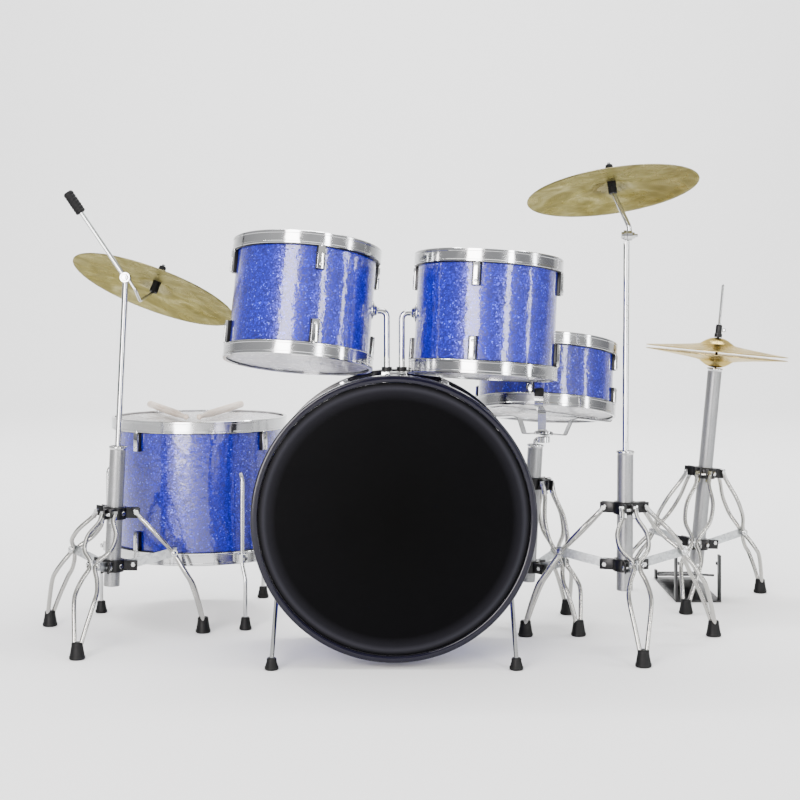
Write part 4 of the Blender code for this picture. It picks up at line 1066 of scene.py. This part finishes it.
def right_crash():
    stand = STANDS["right"]
    pivot_at = stand.at(0.658)
    fixed, moving = bmesh.new(), bmesh.new()
    upper_rod(stand, fixed, 0.658)
    axis = Vector((1, 0, 0))
    pivot(fixed, moving, pivot_at, axis)
    block(fixed, (0.0039, 0.0080, 0.0100),
          Matrix.Translation(pivot_at - stand.axis * (EYE + 0.0010) - axis * FIXED_EYE / 2),
          0.0006)
    piece("right_upper_rod", fixed, CHROME, "right_rod", ["right_rod"])
    seat = RIGHT_CRASH + RIGHT_UP * (LOW_SLEEVE[0] + 0.0030)
    wire(moving, softened([pivot_at + Vector((ARM_LEVEL, 0, 0.0066)),
                           pivot_at + Vector((ARM_LEVEL, 0, 0.0135)), seat], 0.0034, 6),
         0.0040, 20)
    piece("right_tilter_arm", moving, CHROME, "right_tilter", ["right_tilter"])
    post_and_sleeves("right", "right_tilter", RIGHT_CRASH, RIGHT_UP)
    bronze_plate("right_crash", 0.1405, CRASH_RISE, CRASH_BRONZE, "right_crash",
                 "right_crash_cymbal", aimed(RIGHT_CRASH, RIGHT_UP))


# ---- hi-hat -------------------------------------------------------------------------
HIHAT_RISE = 0.024
HIHAT_OPEN = 0.0076
PEDAL_X, HEEL_Y, TOE_Y = 0.4920, 0.3870, 0.1740
PLATE = 0.0030


def hihat():
    stand = STANDS["hihat"]
    place = stand.place(stand.high)
    rim = GAP * 2 + HIHAT_RISE
    bronze_plate("hihat_lower", 0.130, HIHAT_RISE, HIHAT_BRONZE, "kit",
                 "hihat_bottom_cymbal",
                 place @ Matrix.Translation((0, 0, rim)) @ Matrix.Rotation(math.pi, 4, "X"))
    bronze_plate("hihat_upper", 0.130, HIHAT_RISE, HIHAT_BRONZE, "hihat_rod",
                 "hihat_top_cymbal", place @ Matrix.Translation((0, 0, rim + HIHAT_OPEN)))
    crown = rim + HIHAT_OPEN + HIHAT_RISE
    foot = (0.0520 - stand.high) / stand.axis.z
    top = (0.583 - stand.high) / stand.axis.z
    bm = bmesh.new()
    wire(bm, [(0, 0, foot + 0.006), (0, 0, top - 0.001), (0, 0, top)],
         [HIHAT_ROD, HIHAT_ROD, HIHAT_ROD * 0.7], 20)
    turned(bm, [(0, foot), (0.0040, foot), (0.0046, foot + 0.0008), (0.0046, foot + 0.0084),
                (0.0040, foot + 0.0090), (0, foot + 0.0090)], 24)
    hex_head(bm, Matrix.Translation((0.0068, 0, crown + 0.0150))
             @ Matrix.Rotation(math.radians(90.0), 4, "Y"), 0.0032, 0.0060)
    piece("hihat_pull_rod", bm, CHROME, "hihat_rod", ["hihat_rod"], place)
    bm = bmesh.new()
    turned(bm, [(0, crown - 0.0052), (0.0062, crown - 0.0052), (0.0068, crown - 0.0046),
                (0.0068, crown - 0.0022), (0, crown - 0.0022)], 32)
    turned(bm, [(0, crown + 0.0008), (0.0072, crown + 0.0008), (0.0072, crown + 0.0075),
                (0.0060, crown + 0.0085), (0.0060, crown + 0.0215), (0.0050, crown + 0.0245),
                (0, crown + 0.0245)], 32)
    piece("hihat_clutch", bm, PLASTIC, "hihat_rod", place=place)
    hihat_pedal()


def treadle(bm, heel, width, length, rise):
    """Pressed plate with turned-down edges and raised grip bars, hinged at its heel rod."""
    slope = math.atan2(rise, length)
    run = math.hypot(rise, length) - 0.004
    turn = Matrix.Translation(heel) @ Matrix.Rotation(-slope, 4, "X")
    block(bm, (width, run, 0.0026), turn @ Matrix.Translation((0, -0.004 - run / 2, 0)), 0.0008)
    for side in (-1, 1):
        block(bm, (0.0022, run - 0.010, 0.0042),
              turn @ Matrix.Translation((side * (width / 2 - 0.0011), -0.004 - run / 2, -0.0006)),
              0.0006)
    bars = int(run / 0.016)
    for k in range(bars):
        block(bm, (width * 0.72, 0.0050, 0.0014),
              turn @ Matrix.Translation((0, -0.016 - k * 0.0155, 0.0015)), 0.0005)
    wire(bm, [heel - Vector((width / 2, 0, 0)), heel + Vector((width / 2, 0, 0))], 0.0045, 24)


def hihat_pedal():
    half = 0.042
    length = HEEL_Y + 0.012 - (TOE_Y - 0.030)
    middle = (TOE_Y - 0.030 + HEEL_Y + 0.012) / 2
    bm = bmesh.new()
    block(bm, (2 * half, length, PLATE), Matrix.Translation((PEDAL_X, middle, PLATE / 2)), 0.0009)
    for side in (-1, 1):
        block(bm, (0.0040, 0.0180, 0.0840), Matrix.Translation(
            (PEDAL_X + side * (half - 0.0021), TOE_Y - 0.0195, 0.0435)), 0.0008)
        block(bm, (0.0050, 0.0150, 0.0180), Matrix.Translation(
            (PEDAL_X + side * (half - 0.0026), HEEL_Y, 0.0105)), 0.0010)
        hex_head(bm, aimed((PEDAL_X + side * (half - 0.0062), TOE_Y - 0.0195, 0.0700),
                           (-side, 0, 0)), 0.0034, 0.0022)
    piece("hihat_pedal_plate", bm, PEDAL_PAINT, "kit", ["hihat_pedal_base"])
    bm = bmesh.new()
    treadle(bm, Vector((PEDAL_X, HEEL_Y, 0.0110)), 0.070, HEEL_Y - TOE_Y, 0.0450 - 0.0110)
    piece("hihat_treadle", bm, PEDAL_PAINT, "hihat_footboard",
          ["hihat_footboard"])


# ---- snare --------------------------------------------------------------------------
SNARE_HUB = Vector((0.190, -0.0580, 0.3265))
BASKET_RISE = 0.0315


def snare():
    stand = STANDS["snare"]
    home = (Matrix.Translation(SNARE_HUB) @ Matrix.Rotation(math.radians(3.4), 4, "Y")
            @ Matrix.Rotation(math.radians(-11.0), 4, "X"))
    height = 0.115
    drum = Drum("snare", "snare", home, 0.1145, 0.1205, height)
    drum.place = home @ Matrix.Translation((0, 0, BASKET_RISE + 0.0010 + GAP + drum.top))
    drum_set(drum, 60.0, quarter_turns(-108.0), (0.008, 0.013, 0.026))
    bm = bmesh.new()
    block(bm, (0.0150, 0.020, 0.060), around(117.0, drum.radius + 0.0072), 0.0020)
    block(bm, (0.0060, 0.010, 0.034), around(117.0, drum.radius + 0.0130, -0.006), 0.0012)
    hex_head(bm, around(117.0, drum.radius + 0.0072, 0.0300), 0.0050, 0.0030)
    drum.piece("strainer", bm, CHROME, "chrome_hardware")
    turn = Matrix.Rotation(math.radians(27.0), 4, "Z")
    under = -drum.lip
    bm = bmesh.new()
    for end in (-1, 1):
        block(bm, (0.0120, 0.0400, 0.0016),
              turn @ Matrix.Translation((end * 0.090, 0, under - 0.0009)),
              0.0003)
    for k in range(16):
        y = (k - 7.5) * 0.0024
        route = [Vector((0.086 * (2 * s / 60 - 1), y + 0.0004 * math.cos(s * 2.1),
                         under - 0.0009 + 0.0004 * math.sin(s * 2.1))) for s in range(61)]
        wire(bm, [turn @ p for p in route], 0.0005, 6)
    drum.piece("strand_set", bm, STEEL_WIRE, "chrome_hardware", ["wires"])
    outline = softened([(0.0100, 0, 0), (0.0400, 0, 0), (0.0520, 0, BASKET_RISE - 0.003),
                        (0.0620, 0, BASKET_RISE), (0.1240, 0, BASKET_RISE),
                        (0.1275, 0, BASKET_RISE + 0.008), (0.1275, 0, BASKET_RISE + 0.028)],
                       0.0030, 4)
    bm, tips = bmesh.new(), bmesh.new()
    for azimuth in (-100.0, 20.0, 140.0):
        strap(bm, outline, 0.014, 0.0020, around(azimuth))
        block(tips, (0.0050, 0.0156, 0.0140), around(azimuth, 0.1272, BASKET_RISE + 0.0210), 0.0012)
    disc(bm, 0.0160, -0.0030, 0.0030, 36, edge=0.0008)
    hex_head(bm, Matrix.Translation((0, 0, 0.0030)), 0.0060, 0.0040)
    piece("snare_basket_arms", bm, CHROME, "snare", ["snare_basket"], home)
    piece("snare_basket_tips", tips, RUBBER, "snare", place=home)
    rise = stand.at(stand.high)
    low = rise - stand.axis * 0.100
    edge = SNARE_HUB + Vector((0, 0, -0.0105))
    lift = max((edge - rise).dot(stand.axis) - 0.0004, 0.002)
    bm = bmesh.new()
    wire(bm, softened([low, rise + stand.axis * lift, edge], 0.0060, 6), ROD - 0.0006, 24)
    disc(bm, 0.0110, -0.0050, 0.0052, 36, Matrix.Translation(edge), 0.0010)
    piece("snare_neck", bm, CHROME, "snare_post", ["snare_post"])


# ---- bass pedal ---------------------------------------------------------------------
def bass_pedal():
    axle = Vector((BASS_CENTRE.x, -0.1030, 0.122))
    heel = Vector((BASS_CENTRE.x, 0.0970, 0.0110))
    half = 0.040
    start = BASS_CENTRE.y + BASS_DEPTH + 0.0012
    length = heel.y + 0.012 - start
    bm = bmesh.new()
    block(bm, (2 * half, length, PLATE),
          Matrix.Translation((axle.x, start + length / 2, PLATE / 2)), 0.0009)
    for side in (-1, 1):
        block(bm, (0.0060, 0.0160, 0.1330),
              Matrix.Translation((axle.x + side * (half - 0.0031), axle.y, 0.0680)), 0.0014)
        block(bm, (0.0050, 0.0150, 0.0180),
              Matrix.Translation((axle.x + side * (half - 0.0026), heel.y, 0.0105)), 0.0010)
    piece("bass_pedal_plate", bm, PEDAL_PAINT, "kit", ["bass_pedal_base"])
    bm = bmesh.new()
    treadle(bm, heel, 0.064, heel.y + 0.017, 0.0640 - heel.z)
    piece("bass_treadle", bm, PEDAL_PAINT, "bass_footboard",
          ["bass_pedal_footboard"])
    lean = math.radians(35.0)
    along = Vector((0, math.sin(lean), math.cos(lean)))
    inside = half - 0.0071
    bm = bmesh.new()
    wire(bm, [axle - Vector((inside, 0, 0)), axle + Vector((inside, 0, 0))], 0.0045, 24)
    sleeve(bm, 0.0046, 0.0085, -0.0080, 0.0080, 32, aimed(axle, (1, 0, 0)), 0.0008)
    wire(bm, [axle, axle + along * 0.128], 0.0030, 20)
    piece("beater_axle", bm, CHROME, "bass_beater", ["bass_pedal_beater"])
    facing = Vector((0, -math.cos(lean), math.sin(lean)))
    bm = bmesh.new()
    turned(bm, [(0, -0.0150), (0.0120, -0.0145), (0.0165, -0.0110), (0.0170, 0.0),
                (0.0165, 0.0110), (0.0120, 0.0145), (0, 0.0150)], 48,
           aimed(axle + along * 0.120, facing))
    piece("beater_felt", bm, FELT, "bass_beater", sharp=70.0)


bass_drum()
spurs()
tom_mount()
toms()
floor_tom()
for each_stand in STANDS.values():
    stand_tube(each_stand)
    tripod(each_stand)
left_crash()
right_crash()
hihat()
snare()
bass_pedal()
camera()
lights()
room()
sweep()
